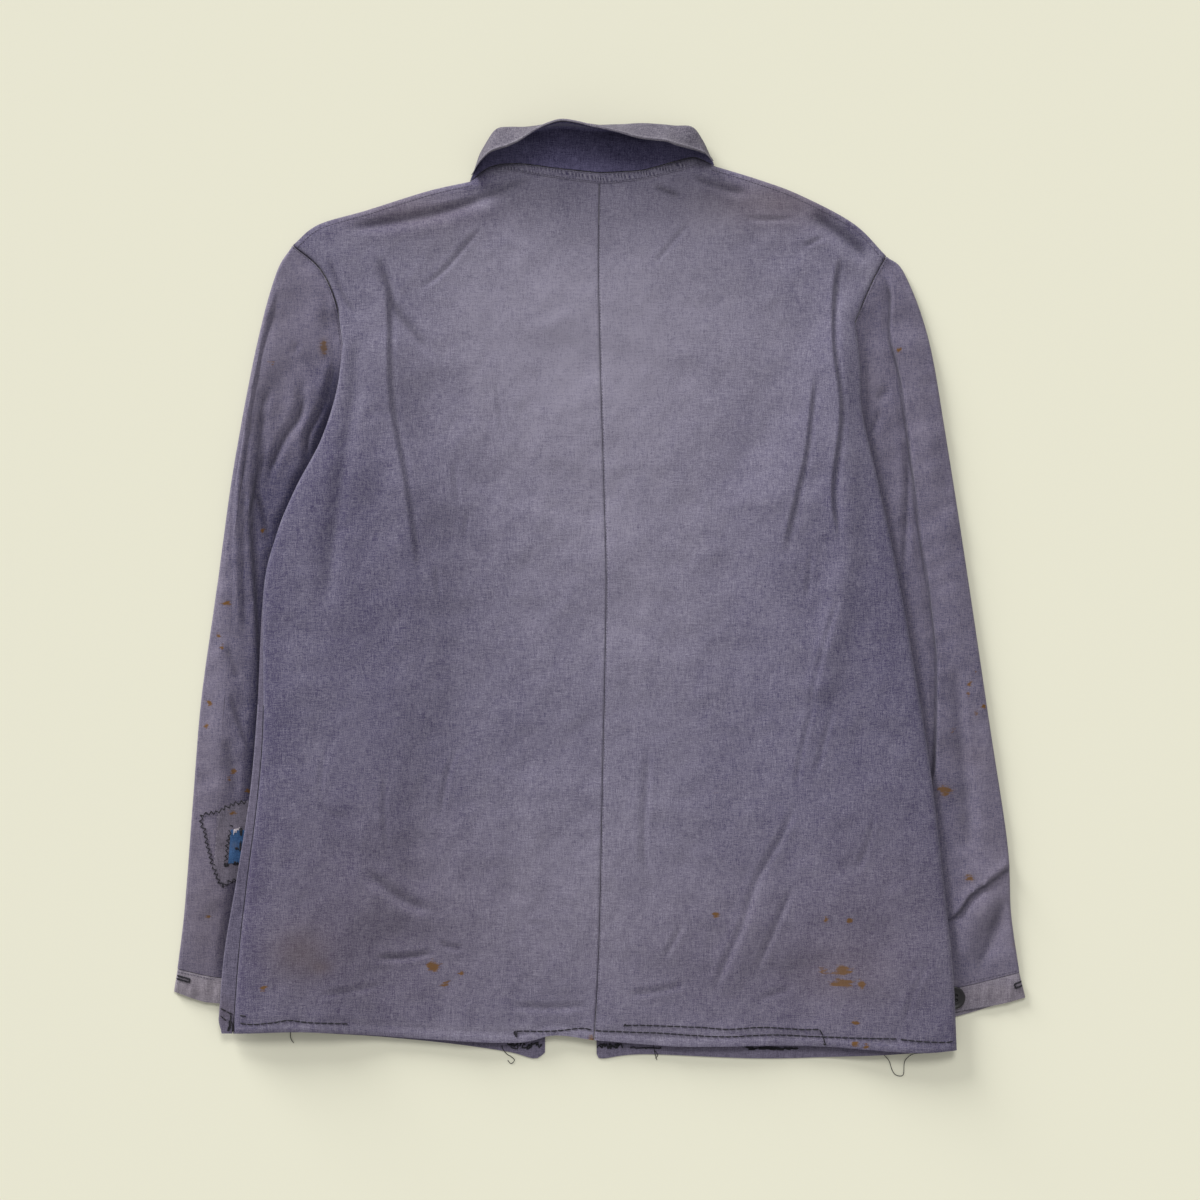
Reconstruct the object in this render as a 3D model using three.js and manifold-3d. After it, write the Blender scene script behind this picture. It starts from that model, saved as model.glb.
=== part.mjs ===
import * as THREE from 'three';
import Module from 'manifold-3d';

// A mended cotton work jacket laid face down: its back, collar and sleeves seen from above.
// Millimetres. +Z is up from the surface it lies on, +Y runs from hem to collar.

const CLOTH = 1.2;
const GAP = 0.3;
const SLEEVE_TOP = 2 * CLOTH + GAP;
const LIFT = 6.2;
const LIFT_RAMP = 60;
const LIFT_FULL_Y = 200;
const LIFT_NONE_Y = 290;
const PUFF = 2.4;
const CUFF_WALL = 1.5;
const CUFF_TOP = 2 * CUFF_WALL + GAP;
const PATCH = 0.9;
const BLUE_PATCH = 0.7;
const TAPE = 0.9;
const TURN = 1.2;
const COLLAR_ROLL = 4.5;
const COLLAR_LEAF = 22;
const COLLAR_RISE = 4;
const BUTTON_RADIUS = 9.5;
const BUTTON_THICK = 2.6;
const BUTTON_RIM = 0.6;
const BUTTON_HOLE = 1.1;
const BUTTON_HOLE_OFF = 2;
const BUTTONS = [[-296, -331], [295, -340]];
const BUTTON_BUMP = 0.9;
const BUTTON_BUMP_FLAT = 35;
const BUTTON_BUMP_END = 80;

const ARM_ROWS = 5;
const SIDE_ROWS = 19;
const NECK_COLS = 6;
const SHOULDER_COLS = 8;
const FRONT_NECK_COLS = 4;
const SLEEVE_ROWS = 18;
const HIDDEN_ARM_COLS = 7;

// Outlines, measured in plan. Left and right are as seen from above.
const NECK_LEFT = [[0, 346.5], [-34, 350], [-68, 354], [-91, 351], [-107.5, 339]];
const NECK_RIGHT = [[0, 346.5], [22, 347.5], [38, 349], [64, 356], [80, 359], [96, 352]];
const SHOULDER_LEFT = [[-107.5, 339], [-143, 331], [-194, 315], [-234, 303], [-255, 286]];
const SHOULDER_RIGHT = [[96, 352], [132, 341], [167, 328], [212, 304], [239, 277]];
const ARM_LEFT = [[-255, 286], [-232, 266], [-219, 238], [-213, 203]];
const ARM_RIGHT = [[239, 277], [231, 263], [223, 246], [213, 222]];
const ARM_HIDDEN_LEFT = [[-213, 203], [-200, 145], [-150, 70]];
const ARM_HIDDEN_RIGHT = [[213, 222], [200, 145], [150, 66]];
const EDGE_LEFT = [
  [-213, 203], [-218, 165], [-231, 124], [-252, 84], [-268, 45], [-279, -5],
  [-284, -100], [-290, -169], [-300, -234], [-311, -301], [-317, -364],
];
const SEAM_LEFT = [
  [-213, 203], [-218, 165], [-231, 124], [-252, 84], [-268, 45], [-279, -5],
  [-279, -107], [-284, -175], [-292, -238], [-299, -301], [-304, -369],
];
const EDGE_RIGHT = [
  [213, 222], [217, 184], [219, 145], [232, 88], [249, 8], [262, -66],
  [276, -155], [287, -250], [294, -318], [297, -383],
];
const CENTRE_BACK = [[0, 346.5], [0, 240], [4, 90], [6, 0], [3, -159], [0, -297], [-4, -375]];
const HEM_BACK_LEFT = [[-4, -376], [-37, -372], [-69, -378], [-138, -375], [-237, -368], [-304, -369]];
const HEM_BACK_RIGHT = [[-4, -376], [67, -381], [146, -380], [197, -381], [262, -385], [297, -383]];
const FRONT_NECK_LEFT = [[-42, 258], [-62, 276], [-92, 306], [-107.5, 339]];
const FRONT_NECK_RIGHT = [[-4, 260], [38, 276], [78, 310], [96, 352]];
const FRONT_EDGE_LEFT = [[-42, 258], [-43, 0], [-45, -386]];
const FRONT_EDGE_RIGHT = [[-4, 260], [-3, 0], [-2, -391]];
const COLLAR_IN_LEFT = [[-25, 297], [-40, 308], [-62, 334], [-84, 374]];
const COLLAR_IN_RIGHT = [[-16, 299], [16, 310], [48, 338], [76, 376]];
const HEM_FRONT_LEFT = [[-45, -386], [-54, -391], [-78, -385], [-138, -377], [-231, -369], [-317, -364]];
const HEM_FRONT_RIGHT = [[-2, -391], [39, -387], [136, -391], [226, -388], [297, -383]];

const SLEEVE_OUT_LEFT = [
  [-255, 286], [-269, 262], [-285, 202], [-304, 101], [-318, 1],
  [-331, -91], [-338, -176], [-345, -266], [-351, -316],
];
const SLEEVE_OUT_RIGHT = [
  [239, 277], [254, 263], [274, 209], [289, 125], [306, 16],
  [325, -112], [340, -212], [343, -270], [350, -319],
];
const SLEEVE_IN_LEFT = [[-150, 70], [-172, -100], [-230, -331]];
const SLEEVE_IN_RIGHT = [[150, 66], [174, -110], [231, -346]];
const CUFF_SEAM_LEFT = [[-351, -316], [-312, -324], [-230, -331]];
const CUFF_SEAM_RIGHT = [[350, -319], [302, -331], [231, -346]];
const CUFF_HEM_LEFT = [[-354, -335], [-331, -343], [-315, -345], [-232, -352]];
const CUFF_HEM_RIGHT = [[355, -340], [332, -346], [297, -352], [233, -366]];
const CUFF_HEM_RIGHT_UNDER = [[355, -340], [332, -346], [297, -356], [233, -371]];
const HIND_SEAM_LEFT = [0.035, 0.04, 0.05, 0.12, 0.16, 0.18];
const HIND_SEAM_RIGHT = [0.035, 0.04, 0.05, 0.1, 0.14, 0.18];

const PATCH_OUTLINE = [
  [-331, -189], [-317, -185], [-305, -179], [-286, -175], [-286, -238],
  [-301, -242], [-312, -247], [-318, -235], [-323, -216], [-327, -206],
];
const BLUE_OUTLINE = [[-306, -200], [-288, -201], [-289, -228], [-308, -228]];
const TAPE_OUTLINE = [
  [-88, 362], [-68, 362], [-34, 360], [0, 358], [22, 358], [38, 360], [64, 366], [84, 370],
  [84, 353], [67, 348], [38, 341], [7, 337], [-12, 338.5], [-44, 343], [-71, 347.5], [-88, 346],
];

// Collar stations from left to right: neck seam, fold, and the free edge of the leaf.
const COLLAR_BASE = [
  [-106, 340], [-99, 346], [-89, 352], [-74, 354.5], [-57, 353], [-32, 350.5],
  [1, 347.5], [34, 349], [58, 355], [74, 359], [87, 357], [94, 354],
];
const COLLAR_FOLD = [
  [-104, 348], [-98, 363], [-87, 380], [-75, 384], [-58, 384], [-32, 387],
  [1, 385], [36, 386], [59, 385], [77, 384], [86, 373], [93, 360],
];
const COLLAR_EDGE = [
  [-105, 344], [-98, 354], [-87, 361], [-75, 366], [-58, 375], [-32, 386],
  [1, 380], [36, 371], [59, 369], [77, 364], [87, 361], [93.5, 357],
];

// The largest folds: a line in plan, the height of its ridge and its half width.
const BACK_FOLDS = [
  { line: [[-200, 280], [-140, 292], [-80, 312]], high: 2.6, wide: 16 },
  { line: [[-184, 277], [-157, 217], [-135, 190]], high: 2, wide: 14 },
  { line: [[-175, 217], [-165, 118], [-152, 22]], high: 2.4, wide: 14 },
  { line: [[200, 250], [194, 174], [197, 36], [172, -105]], high: 3.2, wide: 15 },
  { line: [[178, 182], [163, 78], [154, 28]], high: 1.6, wide: 14 },
  { line: [[142, -231], [117, -286], [94, -341]], high: 2.8, wide: 15 },
  { line: [[-194, -233], [-158, -260], [-136, -269]], high: 2.2, wide: 16 },
  { line: [[42, -126], [37, -219], [45, -248]], high: 1.8, wide: 16 },
];
const SLEEVE_FOLDS = [
  { line: [[-268, 225], [-288, 140], [-304, 40], [-312, -110], [-320, -200], [-328, -285]], high: 3, wide: 11 },
  { line: [[258, 225], [272, 120], [290, 20], [307, -110], [322, -220], [330, -290]], high: 3.2, wide: 11 },
];

const { Manifold, Mesh } = await Module().then((kernel) => {
  kernel.setup();
  return kernel;
});

function curve(points) {
  const knots = points.map(([x, y]) => new THREE.Vector3(x, y, 0));
  return new THREE.CatmullRomCurve3(knots, false, 'centripetal');
}

function along(points, steps) {
  return curve(points).getSpacedPoints(steps).map((p) => [p.x, p.y]);
}

function chain(...runs) {
  return runs.flatMap((run, k) => (k === 0 ? run : run.slice(1)));
}

function mix(a, b, t) {
  return a.map((value, k) => value + (b[k] - value) * t);
}

function shifted(points, dx, dy) {
  return points.map(([x, y]) => [x + dx, y + dy]);
}

// A four-sided patch in plan that follows its four edges.
function patch(top, bottom, left, right) {
  const rows = left.length - 1;
  const cols = top.length - 1;
  return left.map((_, i) => top.map((__, j) => {
    const v = i / rows;
    const u = j / cols;
    const ends = mix(mix(top[0], top[cols], u), mix(bottom[0], bottom[cols], u), v);
    const across = mix(top[j], bottom[j], v);
    const down = mix(left[i], right[i], u);
    return [0, 1].map((k) => across[k] + down[k] - ends[k]);
  }));
}

function lineDistance([x, y], line) {
  let best = Infinity;
  for (let k = 0; k + 1 < line.length; k += 1) {
    const [ax, ay] = line[k];
    const [bx, by] = line[k + 1];
    const length = (bx - ax) ** 2 + (by - ay) ** 2;
    const t = THREE.MathUtils.clamp(((x - ax) * (bx - ax) + (y - ay) * (by - ay)) / length, 0, 1);
    best = Math.min(best, Math.hypot(x - ax - t * (bx - ax), y - ay - t * (by - ay)));
  }
  return best;
}

function relief(point, folds) {
  return folds.reduce((sum, fold) => {
    const share = lineDistance(point, fold.line) / fold.wide;
    return sum + fold.high * Math.exp(-share * share);
  }, 0);
}

// The inner edge of a sleeve under the body, as a distance from the centre.
function sleeveReach(y) {
  const steps = [[286, 255], [203, 213], [145, 200], [70, 150], [-100, 172], [-350, 233], [-400, 240]];
  const k = Math.max(1, steps.findIndex(([at]) => y >= at));
  const [y0, x0] = steps[k - 1];
  const [y1, x1] = steps[k];
  return x0 + (x1 - x0) * THREE.MathUtils.clamp((y - y0) / (y1 - y0), 0, 1);
}

// How far the body is lifted by the sleeve, and the cuff button, folded under it.
function lift([x, y]) {
  const inside = sleeveReach(y) - Math.abs(x);
  const rampX = THREE.MathUtils.clamp(1 - inside / LIFT_RAMP, 0, 1);
  const rampY = THREE.MathUtils.clamp((LIFT_NONE_Y - y) / (LIFT_NONE_Y - LIFT_FULL_Y), 0, 1);
  const bumps = BUTTONS.map(([bx, by]) => {
    const away = Math.hypot(x - bx, y - by);
    const share = (BUTTON_BUMP_END - away) / (BUTTON_BUMP_END - BUTTON_BUMP_FLAT);
    return BUTTON_BUMP * THREE.MathUtils.clamp(share, 0, 1);
  });
  return LIFT * rampX * rampY + Math.max(...bumps);
}

// A wall of cloth: two faces of the same grid and the rim between them.
function wall(lower, upper) {
  const rows = lower.length;
  const cols = lower[0].length;
  const points = [...lower.flat(), ...upper.flat()];
  const index = [];
  const at = (i, j, face) => face * rows * cols + i * cols + j;
  const quad = (a, b, c, d) => index.push(a, b, c, a, c, d);
  for (let i = 0; i + 1 < rows; i += 1) {
    for (let j = 0; j + 1 < cols; j += 1) {
      quad(at(i, j, 0), at(i, j + 1, 0), at(i + 1, j + 1, 0), at(i + 1, j, 0));
      quad(at(i, j, 1), at(i + 1, j, 1), at(i + 1, j + 1, 1), at(i, j + 1, 1));
    }
  }
  const rim = [];
  for (let j = 0; j + 1 < cols; j += 1) rim.push([0, j]);
  for (let i = 0; i + 1 < rows; i += 1) rim.push([i, cols - 1]);
  for (let j = cols - 1; j > 0; j -= 1) rim.push([rows - 1, j]);
  for (let i = rows - 1; i > 0; i -= 1) rim.push([i, 0]);
  rim.forEach(([i, j], k) => {
    const [p, q] = rim[(k + 1) % rim.length];
    quad(at(i, j, 0), at(i, j, 1), at(p, q, 1), at(p, q, 0));
  });
  return solid(points, index);
}

function solid(points, index) {
  const geometry = new THREE.BufferGeometry();
  geometry.setAttribute('position', new THREE.Float32BufferAttribute(points.flat(), 3));
  const corner = (k) => new THREE.Vector3(...points[index[k]]);
  let volume = 0;
  for (let k = 0; k < index.length; k += 3) {
    volume += corner(k).dot(corner(k + 1).cross(corner(k + 2)));
  }
  geometry.setIndex(volume > 0 ? index : index.reverse());
  return geometry;
}

function toManifold(geometry) {
  const mesh = new Mesh({
    numProp: 3,
    vertProperties: new Float32Array(geometry.attributes.position.array),
    triVerts: new Uint32Array(geometry.index.array),
  });
  mesh.merge();
  return new Manifold(mesh);
}

function fromManifold(body) {
  const mesh = body.getMesh();
  const geometry = new THREE.BufferGeometry();
  geometry.setAttribute('position', new THREE.Float32BufferAttribute(mesh.vertProperties, 3));
  geometry.setIndex([...mesh.triVerts]);
  return geometry;
}

function raised(grid, height) {
  return grid.map((row) => row.map(([x, y, z]) => [x, y, z + height]));
}

// Cuts a layer that follows a cloth face to an outline.
function laidOn(face, outline, thick) {
  const layer = toManifold(wall(raised(face, GAP), raised(face, GAP + thick)));
  const shape = new THREE.Shape(outline.map(([x, y]) => new THREE.Vector2(x, y)));
  const block = new THREE.ExtrudeGeometry(shape, { depth: 60, bevelEnabled: false });
  const points = [];
  for (let k = 0; k < block.attributes.position.count; k += 1) {
    points.push(new THREE.Vector3().fromBufferAttribute(block.attributes.position, k).toArray());
  }
  const prism = toManifold(solid(points, points.map((_, k) => k)));
  return fromManifold(layer.intersect(prism));
}

const group = new THREE.Group();
group.name = 'patched_work_jacket';

function add(name, geometry, color, roughness) {
  const material = new THREE.MeshStandardMaterial({ color, roughness, metalness: 0 });
  const mesh = new THREE.Mesh(geometry, material);
  mesh.name = name;
  group.add(mesh);
}

const FADED = 0x7c7689;
const VIOLET = 0x6a6478;
const SLEEVE = 0x6c6677;
const UNFADED = 0x4e4a63;
const LEAF = 0x76717e;
const BLUE = 0x39527a;
const HORN = 0x2b2730;

// Fronts: face down, flat on the surface, riding over the sleeves at the sides.
function frontPanel(neck, shoulder, arm, edge, centre, hem) {
  const top = chain(along(neck, FRONT_NECK_COLS), along(shoulder, SHOULDER_COLS));
  const side = chain(along(arm, ARM_ROWS), along(edge, SIDE_ROWS));
  const rows = ARM_ROWS + SIDE_ROWS;
  const plan = patch(top, along(hem, top.length - 1), along(centre, rows), side);
  return plan.map((row) => row.map((p) => [...p, lift(p)]));
}

const frontLeft = frontPanel(
  FRONT_NECK_LEFT, SHOULDER_LEFT, ARM_LEFT, EDGE_LEFT, FRONT_EDGE_LEFT, HEM_FRONT_LEFT);
const frontRight = frontPanel(
  FRONT_NECK_RIGHT, SHOULDER_RIGHT, ARM_RIGHT, EDGE_RIGHT, FRONT_EDGE_RIGHT, HEM_FRONT_RIGHT);

// Backs: two panels that meet at the centre seam.
function backPanel(neck, shoulder, arm, edge, hem, seamGap) {
  const top = chain(along(neck, NECK_COLS), along(shoulder, SHOULDER_COLS));
  const rows = ARM_ROWS + SIDE_ROWS;
  const cols = NECK_COLS + SHOULDER_COLS;
  const side = chain(along(arm, ARM_ROWS), along(edge, SIDE_ROWS));
  const plan = patch(top, along(hem, cols), along(CENTRE_BACK, rows), side);
  return plan.map((row, i) => row.map((p, j) => {
    const rise = Math.min(1, (cols - j) / 2) * Math.min(1, i / 2);
    const z = lift(p) + CLOTH + GAP + rise * (PUFF + relief(p, BACK_FOLDS));
    return [p[0] + (j === 0 ? seamGap : 0), p[1], z];
  }));
}

const backLeft = backPanel(
  NECK_LEFT, SHOULDER_LEFT, ARM_LEFT, SEAM_LEFT, HEM_BACK_LEFT, -GAP / 2);
const backRight = backPanel(
  NECK_RIGHT, SHOULDER_RIGHT, ARM_RIGHT, EDGE_RIGHT, HEM_BACK_RIGHT, GAP / 2);

// The left front turns over the side of the body and meets the back at the side seam.
function sideTurn() {
  const silhouette = along(EDGE_LEFT, 200);
  const seam = backLeft.map((row) => row[row.length - 1]).filter(([, y]) => y < -95);
  const inner = [];
  const outer = [];
  seam.forEach(([x, y, z]) => {
    const edge = silhouette.reduce((a, b) => (Math.abs(b[1] - y) < Math.abs(a[1] - y) ? b : a))[0];
    const base = z - CLOTH - GAP;
    const end = x - GAP;
    outer.push([
      [edge + 8, y, base + 0.1], [edge + TURN, y, base + 0.1], [edge, y, base + CLOTH + GAP / 2],
      [edge + TURN, y, z + CLOTH], [end, y, z + CLOTH],
    ]);
    inner.push([
      [edge + 8, y, base + CLOTH - 0.1], [edge + 2 * TURN, y, base + CLOTH - 0.1],
      [edge + TURN, y, base + CLOTH + GAP / 2], [edge + 2 * TURN, y, z], [end, y, z],
    ]);
  });
  return wall(inner, outer);
}

const frontLeftSheet = toManifold(wall(frontLeft, raised(frontLeft, CLOTH)));
add('front_left', fromManifold(frontLeftSheet.add(toManifold(sideTurn()))), VIOLET, 0.92);
add('front_right', wall(frontRight, raised(frontRight, CLOTH)), VIOLET, 0.92);
add('back_left', wall(backLeft, raised(backLeft, CLOTH)), FADED, 0.92);
add('back_right', wall(backRight, raised(backRight, CLOTH)), FADED, 0.92);

// Sleeves: two pieces each, pressed flat and tucked under the body.
function sleevePlan(arm, armHidden, out, inn, cuffSeam, away) {
  const visible = along(arm, ARM_ROWS);
  const top = shifted(chain(visible, along(armHidden, HIDDEN_ARM_COLS)), away, -GAP);
  const bottom = along(cuffSeam, top.length - 1);
  const outer = along([top[0], ...out.slice(1)], SLEEVE_ROWS);
  const inner = along([top[top.length - 1], ...inn.slice(1)], SLEEVE_ROWS);
  return patch(top, bottom, outer, inner);
}

function sleeveHigh(p) {
  return SLEEVE_TOP + relief(p, SLEEVE_FOLDS);
}

function shareAt(shares, t) {
  const spot = t * (shares.length - 1);
  const k = Math.min(shares.length - 2, Math.floor(spot));
  return shares[k] + (shares[k + 1] - shares[k]) * (spot - k);
}

// Points of a row, from its outer edge, at shares of the row's length.
function rowPoint(row, share) {
  const line = new THREE.CurvePath();
  for (let k = 0; k + 1 < row.length; k += 1) {
    line.add(new THREE.LineCurve(new THREE.Vector2(...row[k]), new THREE.Vector2(...row[k + 1])));
  }
  const p = line.getPointAt(THREE.MathUtils.clamp(share, 0, 1));
  return [p.x, p.y];
}

const UNDER_SHARES = [0, 0.06, 0.13, 0.21, 0.3, 0.4, 0.52, 0.68, 0.84, 1];

function underSleeve(plan, hindSeam) {
  return plan.map((row, i) => {
    const start = shareAt(hindSeam, i / SLEEVE_ROWS);
    return UNDER_SHARES.map((share) => {
      const p = rowPoint(row, start + (1 - start) * share);
      return [...p, sleeveHigh(p) - CLOTH];
    });
  });
}

function topSleeve(plan, hindSeam) {
  const inner = [];
  const outer = [];
  plan.forEach((row, i) => {
    const width = row.slice(1).reduce((sum, p, k) => sum + Math.hypot(p[0] - row[k][0], p[1] - row[k][1]), 0);
    const end = shareAt(hindSeam, i / SLEEVE_ROWS) - GAP / width;
    const spot = (mm) => rowPoint(row, mm / width);
    const high = sleeveHigh(spot(2));
    const last = rowPoint(row, end);
    const lower = [1, 0.8, 0.6, 0.4, 0.22, 0.1].map((share) => rowPoint(row, share));
    outer.push([
      ...lower.map((p) => [...p, 0]), [...spot(1), 0], [...spot(0), high / 2],
      [...spot(1), high], [...last, sleeveHigh(last)],
    ]);
    inner.push([
      ...lower.map((p) => [...p, CLOTH]), [...spot(1.9), CLOTH], [...spot(1.2), high / 2],
      [...spot(1.9), high - CLOTH], [...last, sleeveHigh(last) - CLOTH],
    ]);
  });
  return wall(inner, outer);
}

const sleeveLeft = sleevePlan(
  ARM_LEFT, ARM_HIDDEN_LEFT, SLEEVE_OUT_LEFT, SLEEVE_IN_LEFT, CUFF_SEAM_LEFT, -GAP);
const sleeveRight = sleevePlan(
  ARM_RIGHT, ARM_HIDDEN_RIGHT, SLEEVE_OUT_RIGHT, SLEEVE_IN_RIGHT, CUFF_SEAM_RIGHT, GAP);
const underLeft = underSleeve(sleeveLeft, HIND_SEAM_LEFT);
const underRight = underSleeve(sleeveRight, HIND_SEAM_RIGHT);
add('sleeve_left_under', wall(underLeft, raised(underLeft, CLOTH)), SLEEVE, 0.92);
add('sleeve_right_under', wall(underRight, raised(underRight, CLOTH)), SLEEVE, 0.92);
add('sleeve_left_top', topSleeve(sleeveLeft, HIND_SEAM_LEFT), SLEEVE, 0.92);
add('sleeve_right_top', topSleeve(sleeveRight, HIND_SEAM_RIGHT), SLEEVE, 0.92);

// Cuffs: a doubled band round the end of each sleeve, pressed flat but open.
function cuffBand(seam, hemOver, hemUnder) {
  const cols = 10;
  const top = shifted(along(seam, cols), 0, -1.5 * GAP);
  const face = (hem) => [0, 0.5, 1].map((v) => top.map((p, j) => mix(p, along(hem, cols)[j], v)));
  const over = face(hemOver);
  const under = face(hemUnder);
  const points = [];
  const ring = 2 * (cols + 1) + 2;
  const inward = (row, mm) => row.map((p, j) => {
    if (j === 0) return mix(p, row[1], mm / Math.hypot(row[1][0] - p[0], row[1][1] - p[1]));
    const q = row[cols - 1];
    return j === cols ? mix(p, q, mm / Math.hypot(q[0] - p[0], q[1] - p[1])) : p;
  });
  [0, 1].forEach((skin) => [0, 1, 2].forEach((i) => {
    const set = skin === 0 ? 0.8 : CUFF_WALL + 0.8;
    const low = skin === 0 ? 0 : CUFF_WALL;
    const high = CUFF_TOP - low;
    const a = inward(over[i], set);
    const b = inward(under[i], set);
    const tip = inward(over[i], set - 0.8);
    const tips = [tip[0], tip[cols]].map((p) => [...p, CUFF_TOP / 2]);
    points.push(
      ...a.map((p) => [...p, high]), tips[1], ...b.map((p) => [...p, low]).reverse(), tips[0]);
  }));
  const index = [];
  const at = (skin, i, k) => (skin * 3 + i) * ring + (k % ring);
  const quad = (a, b, c, d) => index.push(a, b, c, a, c, d);
  for (let k = 0; k < ring; k += 1) {
    for (let i = 0; i < 2; i += 1) {
      quad(at(0, i, k), at(0, i, k + 1), at(0, i + 1, k + 1), at(0, i + 1, k));
      quad(at(1, i, k), at(1, i + 1, k), at(1, i + 1, k + 1), at(1, i, k + 1));
    }
    quad(at(0, 0, k), at(1, 0, k), at(1, 0, k + 1), at(0, 0, k + 1));
    quad(at(0, 2, k), at(0, 2, k + 1), at(1, 2, k + 1), at(1, 2, k));
  }
  return solid(points, index);
}

add('cuff_left', cuffBand(CUFF_SEAM_LEFT, CUFF_HEM_LEFT, CUFF_HEM_LEFT), SLEEVE, 0.92);
add('cuff_right', cuffBand(CUFF_SEAM_RIGHT, CUFF_HEM_RIGHT, CUFF_HEM_RIGHT_UNDER), SLEEVE, 0.92);

// Patches on the left sleeve, each following the cloth below it.
const sleeveFace = raised(underLeft, CLOTH);
add('sleeve_patch', laidOn(sleeveFace, PATCH_OUTLINE, PATCH), VIOLET, 0.92);
add('sleeve_patch_blue', laidOn(raised(sleeveFace, GAP + PATCH), BLUE_OUTLINE, BLUE_PATCH), BLUE, 0.9);

// Tape over the neck seam, across both back panels.
const neckRows = [0, 1, 2].map((i) => {
  const left = raised([backLeft[i]], CLOTH)[0].slice(1).reverse();
  const right = raised([backRight[i]], CLOTH)[0];
  return [...left, [0, right[0][1], right[0][2]], ...right.slice(1)];
});
add('neck_tape', laidOn(neckRows, TAPE_OUTLINE, TAPE), FADED, 0.92);

// Collar: the stand rises from the neck seam, rolls over at the fold and ends in the leaf.
function collarPly(near, far) {
  const seam = curve(COLLAR_BASE);
  const fold = curve(COLLAR_FOLD);
  const edge = curve(COLLAR_EDGE);
  const neckLeft = backLeft[0].slice(1, NECK_COLS + 1).reverse();
  const neck = [...neckLeft, [0, backRight[0][0][1]], ...backRight[0].slice(1, NECK_COLS + 1)];
  const stations = 2 * (neck.length - 1);
  const faces = [[], []];
  for (let k = 0; k <= stations; k += 1) {
    const n = Math.floor(k / 2);
    const [bx, by] = k % 2 === 0 ? neck[n] : mix(neck[n].slice(0, 2), neck[n + 1].slice(0, 2), 0.5);
    const b = new THREE.Vector3(bx, by + GAP, 0);
    let t = 0;
    while (t < 1 && seam.getPoint(t).x < bx) t += 0.002;
    const out = fold.getPoint(Math.min(t, 1)).sub(b);
    const reach = out.length();
    const way = out.clone().normalize();
    const back = reach - edge.getPoint(Math.min(t, 1)).sub(b).dot(way);
    const roll = Math.min(COLLAR_ROLL, 0.3 * reach);
    const leaf = Math.min(COLLAR_LEAF, 0.75 * reach);
    const stand = reach - roll - far;
    let turn = Math.PI * 0.45;
    while (turn < Math.PI * 0.95 && roll * (1 - Math.sin(turn)) - leaf * Math.cos(turn) < back) turn += 0.01;
    const rise = COLLAR_RISE * Math.sin((Math.PI * k) / stations);
    const z0 = CLOTH + GAP + far;
    const profile = [];
    [0, 0.33, 0.66].forEach((share) => {
      profile.push([stand * share, z0 + rise * share * share * (3 - 2 * share), 0]);
    });
    [0, 0.2, 0.4, 0.6, 0.8, 1].forEach((share) => {
      const a = turn * share;
      profile.push([stand + roll * Math.sin(a), z0 + rise + roll * (1 - Math.cos(a)), a]);
    });
    const [rp, rz] = profile[profile.length - 1];
    [0.5, 1].forEach((share) => {
      profile.push([rp + leaf * share * Math.cos(turn), rz + leaf * share * Math.sin(turn), turn]);
    });
    [near, far].forEach((off, side) => faces[side].push(profile.map(([p, z, a]) => {
      const reachAt = p + off * Math.sin(a);
      return [b.x + way.x * reachAt, b.y + way.y * reachAt, z - off * Math.cos(a)];
    })));
  }
  return faces;
}

const PLY_FAR = GAP / 2 + CLOTH;
const upperFaces = collarPly(GAP / 2, PLY_FAR);
add('collar_upper', wall(upperFaces[0], upperFaces[1]), LEAF, 0.9);

function underPly() {
  const [mid] = collarPly(-GAP / 2, PLY_FAR);
  const far = collarPly(-PLY_FAR, PLY_FAR)[0];
  return wall(mid, far);
}

add('collar_under', underPly(), UNFADED, 0.9);

// The front stretches of the collar, flat inside the neck opening.
function collarFront(neck, inner, away) {
  const outerRun = shifted(along(neck, FRONT_NECK_COLS), away, GAP);
  const innerRun = along(inner, FRONT_NECK_COLS);
  const plan = outerRun.map((p, k) => [0, 0.5, 1].map((t) => mix(p, innerRun[k], t)));
  const floor = plan.map((row) => row.map((p) => [...p, 0]));
  return wall(floor, raised(floor, CLOTH));
}

add('collar_front_left', collarFront(FRONT_NECK_LEFT, COLLAR_IN_LEFT, GAP), LEAF, 0.9);
add('collar_front_right', collarFront(FRONT_NECK_RIGHT, COLLAR_IN_RIGHT, -GAP), LEAF, 0.9);

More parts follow.
